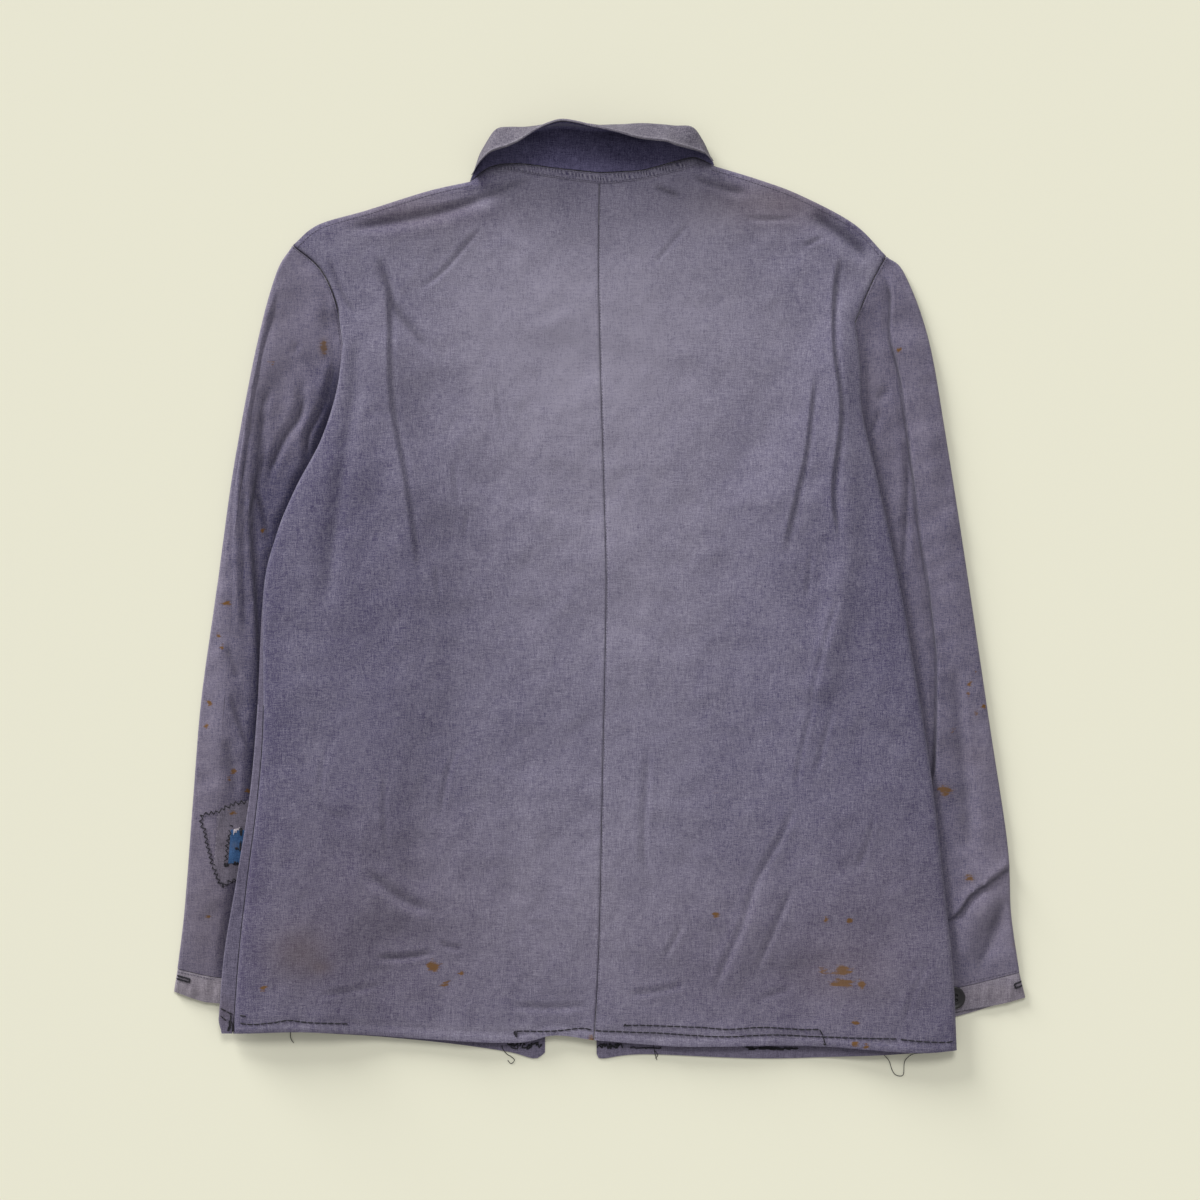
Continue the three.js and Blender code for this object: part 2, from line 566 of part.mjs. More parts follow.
// Cuff buttons: turned discs with a rim and four sewing holes.
function button([x, y]) {
  const base = CUFF_TOP + GAP;
  const r = BUTTON_RADIUS;
  const top = BUTTON_THICK;
  const profile = [
    [0, 0], [r * 0.8, 0], [r, top * 0.45], [r * 0.94, top], [r * 0.78, top],
    [r * 0.6, top - BUTTON_RIM], [0, top - BUTTON_RIM],
  ].map(([px, pz]) => new THREE.Vector2(px, pz));
  const sides = 28;
  const points = [[0, 0, 0], [0, 0, top - BUTTON_RIM]];
  const rings = profile.slice(1, -1);
  rings.forEach((p) => {
    for (let k = 0; k < sides; k += 1) {
      const a = (2 * Math.PI * k) / sides;
      points.push([p.x * Math.cos(a), p.x * Math.sin(a), p.y]);
    }
  });
  const index = [];
  const at = (ring, k) => 2 + ring * sides + (k % sides);
  for (let k = 0; k < sides; k += 1) {
    index.push(0, at(0, k + 1), at(0, k));
    index.push(1, at(rings.length - 1, k), at(rings.length - 1, k + 1));
    for (let n = 0; n + 1 < rings.length; n += 1) {
      index.push(at(n, k), at(n, k + 1), at(n + 1, k + 1), at(n, k), at(n + 1, k + 1), at(n + 1, k));
    }
  }
  let disc = toManifold(solid(points, index));
  [[1, 1], [1, -1], [-1, -1], [-1, 1]].forEach(([sx, sy]) => {
    const hole = Manifold.cylinder(top * 2, BUTTON_HOLE, BUTTON_HOLE, 10);
    disc = disc.subtract(hole.translate([sx * BUTTON_HOLE_OFF, sy * BUTTON_HOLE_OFF, -top / 2]));
  });
  return fromManifold(disc.translate([x, y, base]));
}

add('cuff_button_left', button(BUTTONS[0]), HORN, 0.45);
add('cuff_button_right', button(BUTTONS[1]), HORN, 0.45);

export default group;
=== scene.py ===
import math

import bpy
import numpy as np
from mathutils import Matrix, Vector
from mathutils.bvhtree import BVHTree


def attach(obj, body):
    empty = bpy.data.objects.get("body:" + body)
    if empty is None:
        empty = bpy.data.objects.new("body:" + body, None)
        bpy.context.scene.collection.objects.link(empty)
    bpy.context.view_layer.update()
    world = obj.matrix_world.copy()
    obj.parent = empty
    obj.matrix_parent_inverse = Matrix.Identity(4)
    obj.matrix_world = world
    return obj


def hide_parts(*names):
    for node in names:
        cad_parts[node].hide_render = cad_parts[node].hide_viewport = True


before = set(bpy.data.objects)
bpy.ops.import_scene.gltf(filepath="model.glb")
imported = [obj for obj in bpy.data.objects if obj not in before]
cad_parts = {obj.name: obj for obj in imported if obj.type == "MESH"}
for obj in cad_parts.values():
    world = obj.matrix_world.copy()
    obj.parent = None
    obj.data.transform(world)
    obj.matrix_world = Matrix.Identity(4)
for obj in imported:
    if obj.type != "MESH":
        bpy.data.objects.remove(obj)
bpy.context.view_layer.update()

# Sleeves: two pieces of violet cotton each, sewn along the hind arm into a tube.
# They lie pressed flat on the floor, tucked under the body, so only a band of each one shows.
# Plan measurements are in millimetres, with +Y from hem to collar and +Z out of the back.
CLOTH = 1.2
GAP = 0.3
SLEEVE_TOP = 2 * CLOTH + GAP
SLEEVE_PUFF = 2.0
SLEEVE_ROWS = 206
CRUMPLE_WAVES = 36
FOLD_END = 28
UNDERARM_RISE = 3
UNDERARM_REACH = 22
ARM_LEFT = [(-255, 286), (-232, 266), (-219, 238), (-213, 203)]
ARM_RIGHT = [(239, 277), (231, 263), (223, 246), (213, 222)]
ARM_HIDDEN_LEFT = [(-213, 203), (-200, 145), (-150, 70)]
ARM_HIDDEN_RIGHT = [(213, 222), (200, 145), (150, 66)]
SLEEVE_OUT_LEFT = [
    (-255, 286), (-269, 262), (-285, 202), (-304, 101), (-318, 1),
    (-331, -91), (-338, -176), (-345, -266), (-351, -316),
]
SLEEVE_OUT_RIGHT = [
    (239, 277), (254, 263), (274, 209), (289, 125), (306, 16),
    (325, -112), (340, -212), (343, -270), (350, -319),
]
SLEEVE_IN_LEFT = [(-150, 70), (-172, -100), (-230, -331)]
SLEEVE_IN_RIGHT = [(150, 66), (174, -110), (231, -346)]
CUFF_SEAM_LEFT = [(-351, -316), (-312, -324), (-230, -331)]
CUFF_SEAM_RIGHT = [(350, -319), (302, -331), (231, -346)]
EDGE_LEFT = [
    (-213, 203), (-218, 165), (-231, 124), (-252, 84), (-268, 45), (-279, -5),
    (-284, -100), (-290, -169), (-300, -234), (-311, -301), (-316, -358),
]
EDGE_RIGHT = [
    (213, 222), (217, 184), (219, 145), (232, 88), (249, 8), (262, -66),
    (276, -155), (287, -250), (294, -318), (297, -383),
]
HIND_LEFT = [0.035, 0.04, 0.05, 0.12, 0.16, 0.18]
HIND_RIGHT = [0.035, 0.04, 0.05, 0.1, 0.14, 0.18]
SLEEVE_FOLDS_LEFT = [
    ("ridge", [(-268, 225), (-288, 140), (-304, 40), (-312, -110), (-320, -200), (-328, -285)], 3.0, 13),
    ("ridge", [(-243, 272), (-227, 250), (-218, 222)], 2.2, 12),
    ("ridge", [(-269, 252), (-286, 190), (-295, 128), (-300, 82), (-301, 20), (-299, -42)], 1.4, 2.4),
    ("crease", [(-265, 252), (-281, 190), (-291, 128), (-296, 82), (-297, 20), (-295, -42)], 1.0, 1.6),
    ("lap", [(-291, -175), (-286, -112), (-285, -64), (-288, -2), (-291, 66), (-283, 110), (-281, 135)], 2.6, 16),
    ("crease", [(-287, 83), (-280, 61), (-274, 33)], 1.8, 3),
    ("crease", [(-226, 246), (-228, 226), (-225, 210)], 0.8, 4),
    ("crease", [(-250, 206), (-256, 195)], 1.0, 3),
    ("crease", [(-270, 174), (-279, 156), (-282, 132), (-287, 87)], 2.4, 4),
    ("crease", [(-245, 174), (-252, 155)], 1.2, 4),
    ("crease", [(-226, 162), (-234, 144), (-243, 126), (-242, 103)], 2.8, 2.6),
    ("crease", [(-244, 172), (-250, 144), (-262, 126), (-273, 102), (-277, 84)], 2.6, 3.4),
    ("crease", [(-285, 102), (-287, 84), (-279, 60)], 2.4, 2.6),
    ("crease", [(-218, 190), (-224, 170), (-229, 150)], 2.6, 3),
    ("crease", [(-311, -45), (-304, -64), (-300, -79)], 1.5, 4),
    ("lap", [(-289, -141), (-295, -130), (-300, -117), (-306, -98), (-311, -82)], 1.2, 9),
    ("crease", [(-312, -122), (-308, -136), (-305, -155), (-303, -176)], 1.4, 5),
]
SLEEVE_FOLDS_RIGHT = [
    ("ridge", [(258, 225), (272, 120), (290, 20), (307, -110), (322, -220), (330, -290)], 3.0, 14),
    ("ridge", [(232, 262), (224, 244), (217, 226)], 1.8, 10),
    ("lap", [(232, 268), (243, 247), (243, 211), (250, 182), (256, 141), (262, 96), (268, 45), (275, 3),
             (280, -38), (282, -66), (281, -136), (278, -159), (268, -200)], 3.0, 16),
    ("crease", [(257, 134), (256, 78), (253, 26), (252, 7)], 1.8, 3),
    ("crease", [(242, 168), (230, 157)], 1.4, 4),
    ("crease", [(234, 149), (224, 127)], 1.4, 4),
    ("crease", [(294, -54), (298, -112), (304, -182), (306, -226)], 2.0, 8),
    ("lap", [(270, -288), (290, -274), (299, -267), (308, -254), (323, -243), (338, -232), (362, -216)], 2.6, 12),
    ("crease", [(338, -253), (331, -272), (322, -295), (312, -323)], 2.6, 7),
]


# A smooth curve through the points, at the given shares of the way from each to the next.
def catmull(points, at):
    knots = np.array(points, float)
    knots = np.vstack([2 * knots[0] - knots[1], knots, 2 * knots[-1] - knots[-2]])
    at = np.asarray(at, float)
    k = np.clip(np.floor(at).astype(int), 0, len(points) - 2)
    t = (at - k)[:, None]
    a, b, c, d = (knots[k + n] for n in range(4))
    return 0.5 * (2 * b + (c - a) * t + (2 * a - 5 * b + 4 * c - d) * t**2 + (3 * b - a - 3 * c + d) * t**3)


def steps(line):
    return np.hypot(*np.diff(line, axis=0).T)


# The same line in equal steps.
def resample(line, count):
    length = np.concatenate([[0], np.cumsum(steps(line[:, :2]))])
    at = np.linspace(0, length[-1], count + 1)
    return np.stack([np.interp(at, length, line[:, k]) for k in range(line.shape[1])], 1)


def spline(points, count):
    return resample(catmull(points, np.linspace(0, len(points) - 1, 60 * len(points))), count)


def chain(first, second):
    return np.vstack([first, second[1:]])


# A grid stretched between four border lines.
def coons(top, bottom, left, right):
    u = np.linspace(0, 1, len(top))[None, :, None]
    v = np.linspace(0, 1, len(left))[:, None, None]
    ends = (1 - v) * ((1 - u) * top[0] + u * top[-1]) + v * ((1 - u) * bottom[0] + u * bottom[-1])
    return (1 - v) * top[None] + v * bottom[None] + (1 - u) * left[:, None] + u * right[:, None] - ends


def smooth(x):
    x = np.clip(x, 0, 1)
    return x * x * (3 - 2 * x)


# How far each spot is from a line, on which side, how far along it, and the way back to it.
def line_distance(xy, line):
    line = np.array(line, float)
    best = np.full(xy.shape[:-1], np.inf)
    away = np.zeros(xy.shape)
    side = np.ones(xy.shape[:-1])
    spot = np.zeros(xy.shape[:-1])
    start = 0.0
    for a, b, length in zip(line[:-1], line[1:], steps(line)):
        way = (b - a) / length
        t = np.clip((xy - a) @ way, 0, length)
        gap = xy - a - t[..., None] * way
        d = np.hypot(gap[..., 0], gap[..., 1])
        near = d < best
        best = np.where(near, d, best)
        away = np.where(near[..., None], gap, away)
        side = np.where(near, np.sign(way[0] * gap[..., 1] - way[1] * gap[..., 0]), side)
        spot = np.where(near, start + t, spot)
        start += length
    return best, side, spot / start, away


def along_fold(xy, line):
    curve = catmull(line, np.linspace(0, len(line) - 1, 8 * len(line)))
    d, side, spot, away = line_distance(xy, curve)
    fade_out = min(0.25, FOLD_END / steps(curve).sum())
    return d, side, away, smooth(np.minimum(spot, 1 - spot) / fade_out)


# The folds as height: soft ridges, creases pressed in with low banks, and laps with one steep side.
def relief(xy, folds):
    total = np.zeros(xy.shape[:-1])
    for kind, line, high, wide in folds:
        d, side, _, taper = along_fold(xy, line)
        if kind == "ridge":
            shape = np.exp(-((d / wide) ** 2))
        elif kind == "crease":
            shape = 0.25 * np.exp(-(((d - 2.2 * wide) / (1.3 * wide)) ** 2)) - np.exp(-((d / wide) ** 2))
        else:
            over = side * d
            shape = smooth((over + 3) / 4) * np.exp(-np.maximum(over, 0) / wide)
            shape = shape - 0.5 * np.exp(-(((over + 4) / 2.5) ** 2))
        total += high * taper * shape
    return total


# Painted shade: how dark the colour is made at the bottom of each crease and lap.
def painted_crease_shade(xy, folds, share=1.0):
    deepest = np.zeros(xy.shape[:-1])
    for kind, line, high, wide in folds:
        if kind == "ridge":
            continue
        d, side, _, taper = along_fold(xy, line)
        if kind == "lap":
            much, across_it = 0.16 * high, (side * d + 2) / 1.9
        else:
            much, across_it = 0.2 * high / (1 + 0.1 * wide), d / max(1.6, 0.6 * wide)
        near = np.exp(-(across_it**2))
        deepest = np.maximum(deepest, share * min(much, 0.55) * near * taper)
    return deepest


# How far the upper layer of each lap is drawn over the lower one.
def slip(xy, folds):
    total = np.zeros(xy.shape)
    for kind, line, high, _ in folds:
        if kind == "lap":
            d, side, away, taper = along_fold(xy, line)
            taper = taper * smooth((side * d + 1) / 2) * np.exp(-((d / 6) ** 2))
            total -= (0.4 * high * taper * side / np.maximum(d, 0.2))[..., None] * away
    return total


# Small random unevenness: waves of mixed length and direction.
def crumple(xy, seed, longest, shortest, high):
    rng = np.random.default_rng(seed)
    total = np.zeros(xy.shape[:-1])
    for _ in range(CRUMPLE_WAVES):
        length = shortest * (longest / shortest) ** rng.random()
        turn = rng.random() * math.tau
        phase = rng.random() * math.tau
        bend = 0.35 * length * np.sin(xy @ [-math.sin(turn), math.cos(turn)] / (1.7 * length) + 2 * phase)
        along = xy @ [math.cos(turn), math.sin(turn)] + bend
        total += length / longest * np.sin(math.tau * along / length + phase)
    return high * total / math.sqrt(CRUMPLE_WAVES / 4)


def sleeve_plan(arm, hidden, out, inn, cuff, away):
    top = chain(spline(arm, 20), spline(hidden, 28)) + (away, -GAP)
    outer = spline([tuple(top[0])] + out[1:], SLEEVE_ROWS)
    inner = spline([tuple(top[-1])] + inn[1:], SLEEVE_ROWS)
    return coons(top, spline(cuff, 48), outer, inner)


def across(plan, shares):
    rows = []
    for row, share in zip(plan, shares):
        length = np.concatenate([[0], np.cumsum(steps(row))])
        rows.append(np.stack([np.interp(share * length[-1], length, row[:, k]) for k in (0, 1)], 1))
    return np.array(rows)


def past_edge(xy, edge):
    line = np.array(edge, float)[::-1]
    return np.abs(xy[..., 0]) - np.interp(xy[..., 1], line[:, 1], np.abs(line[:, 0]))


# The height of the sleeve's upper layer, which shows only beyond the body's edge.
def sleeve_high(xy, folds, edge, seed):
    out = past_edge(xy, edge)
    shown = np.maximum(smooth((out + 1) / 10), smooth((xy[..., 1] - edge[0][1] + 12) / 24))
    form = SLEEVE_PUFF + relief(xy, folds) + crumple(xy, seed, 60, 14, 0.5)
    form = 0.7 + (form - 0.7) * smooth((xy[..., 1] + 324) / 26)
    return SLEEVE_TOP + np.maximum(shown * form, 0)


def lay(xy, z):
    return np.concatenate([xy, np.broadcast_to(z, xy.shape[:-1])[..., None]], -1)


def outward(points, quads):
    a, b, c, d = (points[quads[:, k]] for k in range(4))
    volume = np.sum(a * np.cross(b, c)) + np.sum(a * np.cross(c, d))
    return quads if volume > 0 else quads[:, ::-1]


# The closed wall of cloth between two grids.
def wall(lower, upper):
    rows, cols = lower.shape[:2]
    points = np.concatenate([lower.reshape(-1, 3), upper.reshape(-1, 3)])
    index = np.arange(rows * cols).reshape(rows, cols)
    low = np.stack([index[:-1, :-1], index[:-1, 1:], index[1:, 1:], index[1:, :-1]], -1).reshape(-1, 4)
    rim = np.concatenate([index[0, :-1], index[:-1, -1], index[-1, :0:-1], index[:0:-1, 0]])
    ahead = np.roll(rim, -1)
    high = low[:, ::-1] + rows * cols
    round_it = np.stack([rim, rim + rows * cols, ahead + rows * cols, ahead], -1)
    return points, outward(points, np.concatenate([low, high, round_it]))


def shell(name, lower, upper):
    return body(name, *wall(lower, upper))


def body(name, points, quads):
    mesh = bpy.data.meshes.new(name)
    mesh.from_pydata((points * 0.001).tolist(), [], outward(points, quads).tolist())
    mesh.shade_smooth()
    mesh.set_sharp_from_angle(angle=math.radians(60))
    made = bpy.data.objects.new(name, mesh)
    bpy.context.scene.collection.objects.link(made)
    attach(made, "root")
    return made


def hind_seam(plan, hind):
    return np.interp(np.linspace(0, 1, len(plan)), np.linspace(0, 1, len(hind)), hind)[:, None]


def under_sleeve(name, plan, hind, folds, edge, seed):
    start = hind_seam(plan, hind)
    share = np.concatenate([np.linspace(0, 0.55, 40), np.linspace(0.55, 1, 8)[1:]])[None]
    xy = across(plan, start + (1 - start) * share)
    from_seam = line_distance(xy, plan[0, 20:])[0]
    at_seam = SLEEVE_TOP + UNDERARM_RISE * smooth(1 - from_seam / UNDERARM_REACH)
    z = np.maximum(sleeve_high(xy, folds, edge, seed), at_seam)
    # Painted shade in the bottoms of the sleeve's creases and laps.
    painted_deep_shade = np.tile(painted_crease_shade(xy, folds, 1.5).ravel(), 2)
    xy = xy + slip(xy, folds)
    return shell(name, lay(xy, z - CLOTH), lay(xy, z)), painted_deep_shade


def top_sleeve(name, plan, hind, folds, edge, seed):
    width = np.array([steps(row).sum() for row in plan])[:, None]
    end = hind_seam(plan, hind) - 0.06 / width
    tip = sleeve_high(across(plan, 2 / width), folds, edge, seed)
    turn = np.linspace(-math.pi / 2, math.pi / 2, 9)[None]
    faces = []
    for inset in (0, CLOTH):
        radius = tip / 2 - inset
        bend = (tip / 2 - np.minimum(radius, tip / 2) * np.cos(turn)) / width
        floor = np.linspace(1, 0.05, 14)[None] + 0 * width
        strip = 0.016 + (end - 0.016) * np.linspace(0, 1, 9)[None][:, 1:]
        share = np.concatenate([floor, bend, strip], 1)
        xy = across(plan, share)
        z = np.concatenate([
            np.full(floor.shape, float(inset)), tip / 2 + radius * np.sin(turn),
            sleeve_high(xy[:, -strip.shape[1]:], folds, edge, seed) - inset,
        ], 1)
        faces.append(lay(xy, z))
    # Painted shade in the bottoms of the sleeve's creases and laps.
    return shell(name, faces[1], faces[0]), np.tile(painted_crease_shade(xy, folds, 1.5).ravel(), 2)


def linear(code):
    parts = [int(code[k:k + 2], 16) / 255 for k in (1, 3, 5)]
    return (*[p / 12.92 if p <= 0.04045 else ((p + 0.055) / 1.055) ** 2.4 for p in parts], 1)


def node(tree, kind, inputs=None, **settings):
    made = tree.nodes.new("ShaderNode" + kind)
    for key, value in settings.items():
        setattr(made, key, value)
    for key, value in (inputs or {}).items():
        if isinstance(value, bpy.types.Node):
            value = value.outputs[0]
        if isinstance(value, bpy.types.NodeSocket):
            tree.links.new(value, made.inputs[key])
        else:
            made.inputs[key].default_value = value
    return made


def plain_finish(name):
    material = bpy.data.materials.new(name)
    material.use_nodes = True
    tree = material.node_tree
    return material, tree, tree.nodes["Principled BSDF"]


# Plain-weave cotton: matt and dry, finely grained, washed out in soft blotches, with slubs along warp and weft.
# The attribute carries fading mixed with painted light and shade in red, rust stains in green, grime mixed with
# painted shade in blue, and painted shade in folds, under the collar's leaf and along the body's edge in alpha.
# Patterns are given per metre. The weave is drawn coarser than the real 0.5 mm thread, so that it shows.
THREAD = 0.0011
BLOTCH = (42, 14, 42)  # 24 by 70 mm
GRAIN = 1350  # 0.7 mm
SLUBS = ((170, 1900, 600), (1900, 130, 600))  # 6 to 8 mm long, 0.5 mm wide
STAIN_SPECK = (110, 380, 240)  # 9 by 3 mm
RUST = "#684508"
GRIME = "#594b47"
# Painted shade: the dark colour mixed into folds, under the collar's leaf and along the body's edge.
PAINTED_FOLD_SHADE = "#1f1c2a"
DIP = 0.3  # how far the weave may go below the dark colour


def cotton(name, dark, light):
    material, tree, shader = plain_finish(name)
    place = node(tree, "TexCoord").outputs["Object"]
    wear_and_shade = node(tree, "Attribute", attribute_name="wear_and_shade")
    worn = node(tree, "SeparateColor", {0: wear_and_shade.outputs["Color"]})
    broad = node(tree, "Mapping", {"Vector": place, "Scale": BLOTCH})
    blotch = node(tree, "TexNoise", {"Vector": broad, "Scale": 1, "Detail": 4, "Roughness": 0.6})
    grain = node(tree, "TexNoise", {"Vector": place, "Scale": GRAIN, "Detail": 2, "Roughness": 0.7})
    streaks = []
    for stretch in SLUBS:
        spread = node(tree, "Mapping", {"Vector": place, "Scale": stretch})
        streaks.append(node(tree, "TexNoise", {"Vector": spread, "Scale": 1, "Detail": 1}))
    yarn = node(tree, "Math", {0: streaks[0], 1: streaks[1]}, operation="ADD")
    soft = node(tree, "Math", {0: blotch, 1: 0.5, 2: -0.25}, operation="MULTIPLY_ADD")
    fine = node(tree, "Math", {0: yarn, 1: 1.1, 2: -2.15}, operation="MULTIPLY_ADD")
    speck = node(tree, "Math", {0: grain, 1: 2.1, 2: fine}, operation="MULTIPLY_ADD")
    both = node(tree, "Math", {0: soft, 1: speck}, operation="ADD")
    fade_and_shade = node(tree, "Math", {0: both, 1: worn}, operation="ADD")
    tone = node(tree, "MapRange", {0: fade_and_shade, 1: -DIP, 2: 1, 3: 0, 4: 1})
    deepest = [low - DIP * (high - low) for low, high in zip(linear(dark), linear(light))][:3] + [1]
    colour = node(tree, "Mix", {0: tone, 6: deepest, 7: linear(light)}, data_type="RGBA")
    smear = node(tree, "Mapping", {"Vector": place, "Scale": STAIN_SPECK})
    fleck = node(tree, "TexNoise", {"Vector": smear, "Scale": 1, "Detail": 4, "Roughness": 0.65})
    edge = node(tree, "Math", {0: fleck, 1: 1.3, 2: -0.65}, operation="MULTIPLY_ADD")
    spot = node(tree, "Math", {0: worn.outputs[1], 1: edge}, operation="ADD")
    stain = node(tree, "MapRange", {0: spot, 1: 0.3, 2: 0.48, 3: 0, 4: 0.92})
    rusty = node(tree, "Mix", {0: stain, 6: colour.outputs[2], 7: linear(RUST)}, data_type="RGBA")
    dirt_and_shade = node(tree, "Math", {0: worn.outputs[2], 1: 0.8}, operation="MULTIPLY", use_clamp=True)
    dirty_and_shaded = node(tree, "Mix", {0: dirt_and_shade, 6: rusty.outputs[2], 7: linear(GRIME)}, data_type="RGBA")
    waves = []
    for direction in ("X", "Y"):
        waves.append(node(
            tree, "TexWave",
            {"Vector": place, "Scale": math.tau / 20 / THREAD, "Distortion": 0.6, "Detail": 1},
            bands_direction=direction,
        ))
    weave = node(tree, "Math", {0: waves[0].outputs[1], 1: waves[1].outputs[1]}, operation="MULTIPLY")
    height = node(tree, "Math", {0: grain, 1: 0.8, 2: weave}, operation="MULTIPLY_ADD")
    bump = node(tree, "Bump", {"Height": height, "Strength": 0.35, "Distance": 0.0004})
    # Painted shade: the colour goes towards the dark fold colour as far as the attribute's alpha says.
    painted_shade_mix = node(tree, "Mix",
                 {0: wear_and_shade.outputs["Alpha"], 6: linear(PAINTED_FOLD_SHADE), 7: dirty_and_shaded.outputs[2]}, data_type="RGBA")
    tree.links.new(painted_shade_mix.outputs[2], shader.inputs["Base Color"])
    tree.links.new(bump.outputs[0], shader.inputs["Normal"])
    shader.inputs["Roughness"].default_value = 0.95
    shader.inputs["Specular IOR Level"].default_value = 0.2
    shader.inputs["Sheen Weight"].default_value = 0.12
    shader.inputs["Sheen Roughness"].default_value = 0.6
    return material


def blots(xy, spots):
    total = np.zeros(len(xy))
    for x, y, wide, high, much in spots:
        total += much * np.exp(-(((xy[:, 0] - x) / wide) ** 2) - ((xy[:, 1] - y) / high) ** 2)
    return total


# The colour marks of each piece: fading mixed with painted light and shade, rust stains, grime mixed with painted
# shade, and painted shade in folds.
def dress(piece, material, fade_and_shade, stains=(), grime_and_shade=(), level=0.0, painted_shading=0.0, painted_deep_shade=0.0):
    xy = np.array([v.co for v in piece.data.vertices])[:, :2] * 1000
    layer = piece.data.attributes.new("wear_and_shade", "FLOAT_COLOR", "POINT")
    value = np.ones((len(xy), 4))
    value[:, 0] = level + blots(xy, fade_and_shade) + painted_shading
    value[:, 1] = np.clip(blots(xy, stains), 0, 1)
    value[:, 2] = np.clip(blots(xy, grime_and_shade), 0, 1)
    value[:, 3] = 1 - np.clip(painted_deep_shade, 0, 0.85)
    layer.data.foreach_set("color", value.ravel())
    piece.data.materials.append(material)


# Painted shade along the body's edge, where the sleeve runs in under it.
def painted_edge_shade(piece, edge, much):
    xy = np.array([v.co for v in piece.data.vertices])[:, :2] * 1000
    out = np.maximum(past_edge(xy, edge), 0)
    below = smooth((edge[0][1] - xy[:, 1]) / 40)
    pit = smooth((xy[:, 1] - 20) / 120)
    shade = 0.3 * np.exp(-((out / 7) ** 2)) + (0.18 + 0.2 * pit) * np.exp(-((out / 24) ** 2))
    return -much * below * shade, much * below * (0.25 + 0.4 * pit) * np.exp(-((out / (5 + 6 * pit)) ** 2))


SLEEVE_COTTON = cotton("worn_sleeve_cotton", "#46425c", "#7d7686")
# Fading on the sleeves, with some painted shade and light: the dark spot at (-278, 90) under the left arm is painted
# shade, the light spot at (228, 178) beside the body's right edge is painted light.
SLEEVE_FADE_AND_SHADE_LEFT = [
    (-275, 190, 40, 90, 0.2), (-318, 0, 12, 90, 0.15), (-325, -120, 14, 90, 0.1), (-332, -270, 26, 60, 0.2),
    (-278, 90, 24, 45, -0.22),
]
SLEEVE_FADE_AND_SHADE_RIGHT = [
    (228, 178, 10, 25, 0.3), (275, 180, 30, 90, 0.15), (320, -150, 20, 110, 0.12), (335, -270, 26, 60, 0.25),
]
SLEEVE_STAINS = [
    (-229, 201, 3.5, 7, 0.55), (-271, 188, 3, 3, 0.67), (-280, 49, 2.5, 3, 0.67), (-310, -12, 5, 3, 0.6),
    (-316, -38, 2.5, 2.5, 0.67), (-313, -48, 2.5, 2.5, 0.67), (-324, -95, 2.5, 3, 0.67), (-327, -114, 2.5, 3, 0.67),
    (-304, -152, 2.5, 2.5, 0.67), (-308, -158, 2.5, 2.5, 0.67), (-292, -168, 4, 2, 0.8), (-325, -272, 2.5, 2.5, 0.57),
    (249, 198, 3, 4, 0.62), (313, -69, 3, 3, 0.45), (308, -78, 3, 3, 0.5), (307, -87, 2.5, 3, 0.45),
    (313, -102, 3, 3, 0.55), (320, -98, 2.5, 3, 0.5), (294, -118, 3, 2.5, 0.45), (287, -168, 7, 4.5, 0.72),
    (308, -240, 4.5, 3.5, 0.6),
]
SLEEVE_GRIME = [
    (-229, 201, 3.5, 7, 0.9), (-322, -290, 25, 50, 0.15), (346, -296, 2.5, 2.5, 0.5), (330, -250, 30, 60, 0.1),
    (-325, -230, 40, 110, 0.2), (-345, -335, 50, 12, 0.2), (340, -338, 50, 14, 0.25), (287, -168, 8, 6, 0.4),
    (308, -240, 5, 4, 0.35), (310, -140, 16, 12, 0.15),
]
plan_left = sleeve_plan(ARM_LEFT, ARM_HIDDEN_LEFT, SLEEVE_OUT_LEFT, SLEEVE_IN_LEFT, CUFF_SEAM_LEFT, -GAP)
plan_right = sleeve_plan(ARM_RIGHT, ARM_HIDDEN_RIGHT, SLEEVE_OUT_RIGHT, SLEEVE_IN_RIGHT, CUFF_SEAM_RIGHT, GAP)
sleeves = {}
for side, plan, hind, folds, edge, fade_and_shade, edge_shade_much in (
    ("left", plan_left, HIND_LEFT, SLEEVE_FOLDS_LEFT, EDGE_LEFT, SLEEVE_FADE_AND_SHADE_LEFT, 0.95),
    ("right", plan_right, HIND_RIGHT, SLEEVE_FOLDS_RIGHT, EDGE_RIGHT, SLEEVE_FADE_AND_SHADE_RIGHT, 0.1),
):
    for part, make, cut, area in (
        ("under", under_sleeve, (0.19, 0.62), 0.09), ("top", top_sleeve, (0.22, 0.63), 0.115)
    ):
        piece, painted_deep_shade = make(f"sleeve_{side}_{part}_cloth", plan, hind, folds, edge, 11)
        # Painted shade where the sleeve runs in under the body: strong on the left, faint on the right.
        shade, dark = painted_edge_shade(piece, edge, edge_shade_much)
        dress(piece, SLEEVE_COTTON, fade_and_shade, SLEEVE_STAINS, SLEEVE_GRIME, level=0.5,
              painted_shading=shade, painted_deep_shade=np.maximum(painted_deep_shade, dark))
        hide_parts(f"sleeve_{side}_{part}")
        sleeves[side, part] = piece

# Cuffs: a doubled turn of the same cotton round the end of each sleeve, held by one row of stitching.
# They are pressed flat but open, stiffer and a little thicker than the sleeve.
CUFF_WALL = 1.5
CUFF_TOP = 2 * CUFF_WALL + GAP
CUFF_HEM_LEFT = [(-354, -335), (-331, -343), (-315, -345), (-232, -352)]
CUFF_HEM_RIGHT = [(355, -340), (332, -346), (297, -352), (233, -366)]
CUFF_HEM_RIGHT_UNDER = [(355, -340), (332, -346), (297, -356), (233, -371)]
CUFF_FADE = [(-335, -335, 40, 30, 0.2), (335, -335, 60, 40, -0.1)]


def ring_quads(index):
    ahead = np.roll(index, -1, 1)
    return np.stack([index[:-1], ahead[:-1], ahead[1:], index[1:]], -1).reshape(-1, 4)


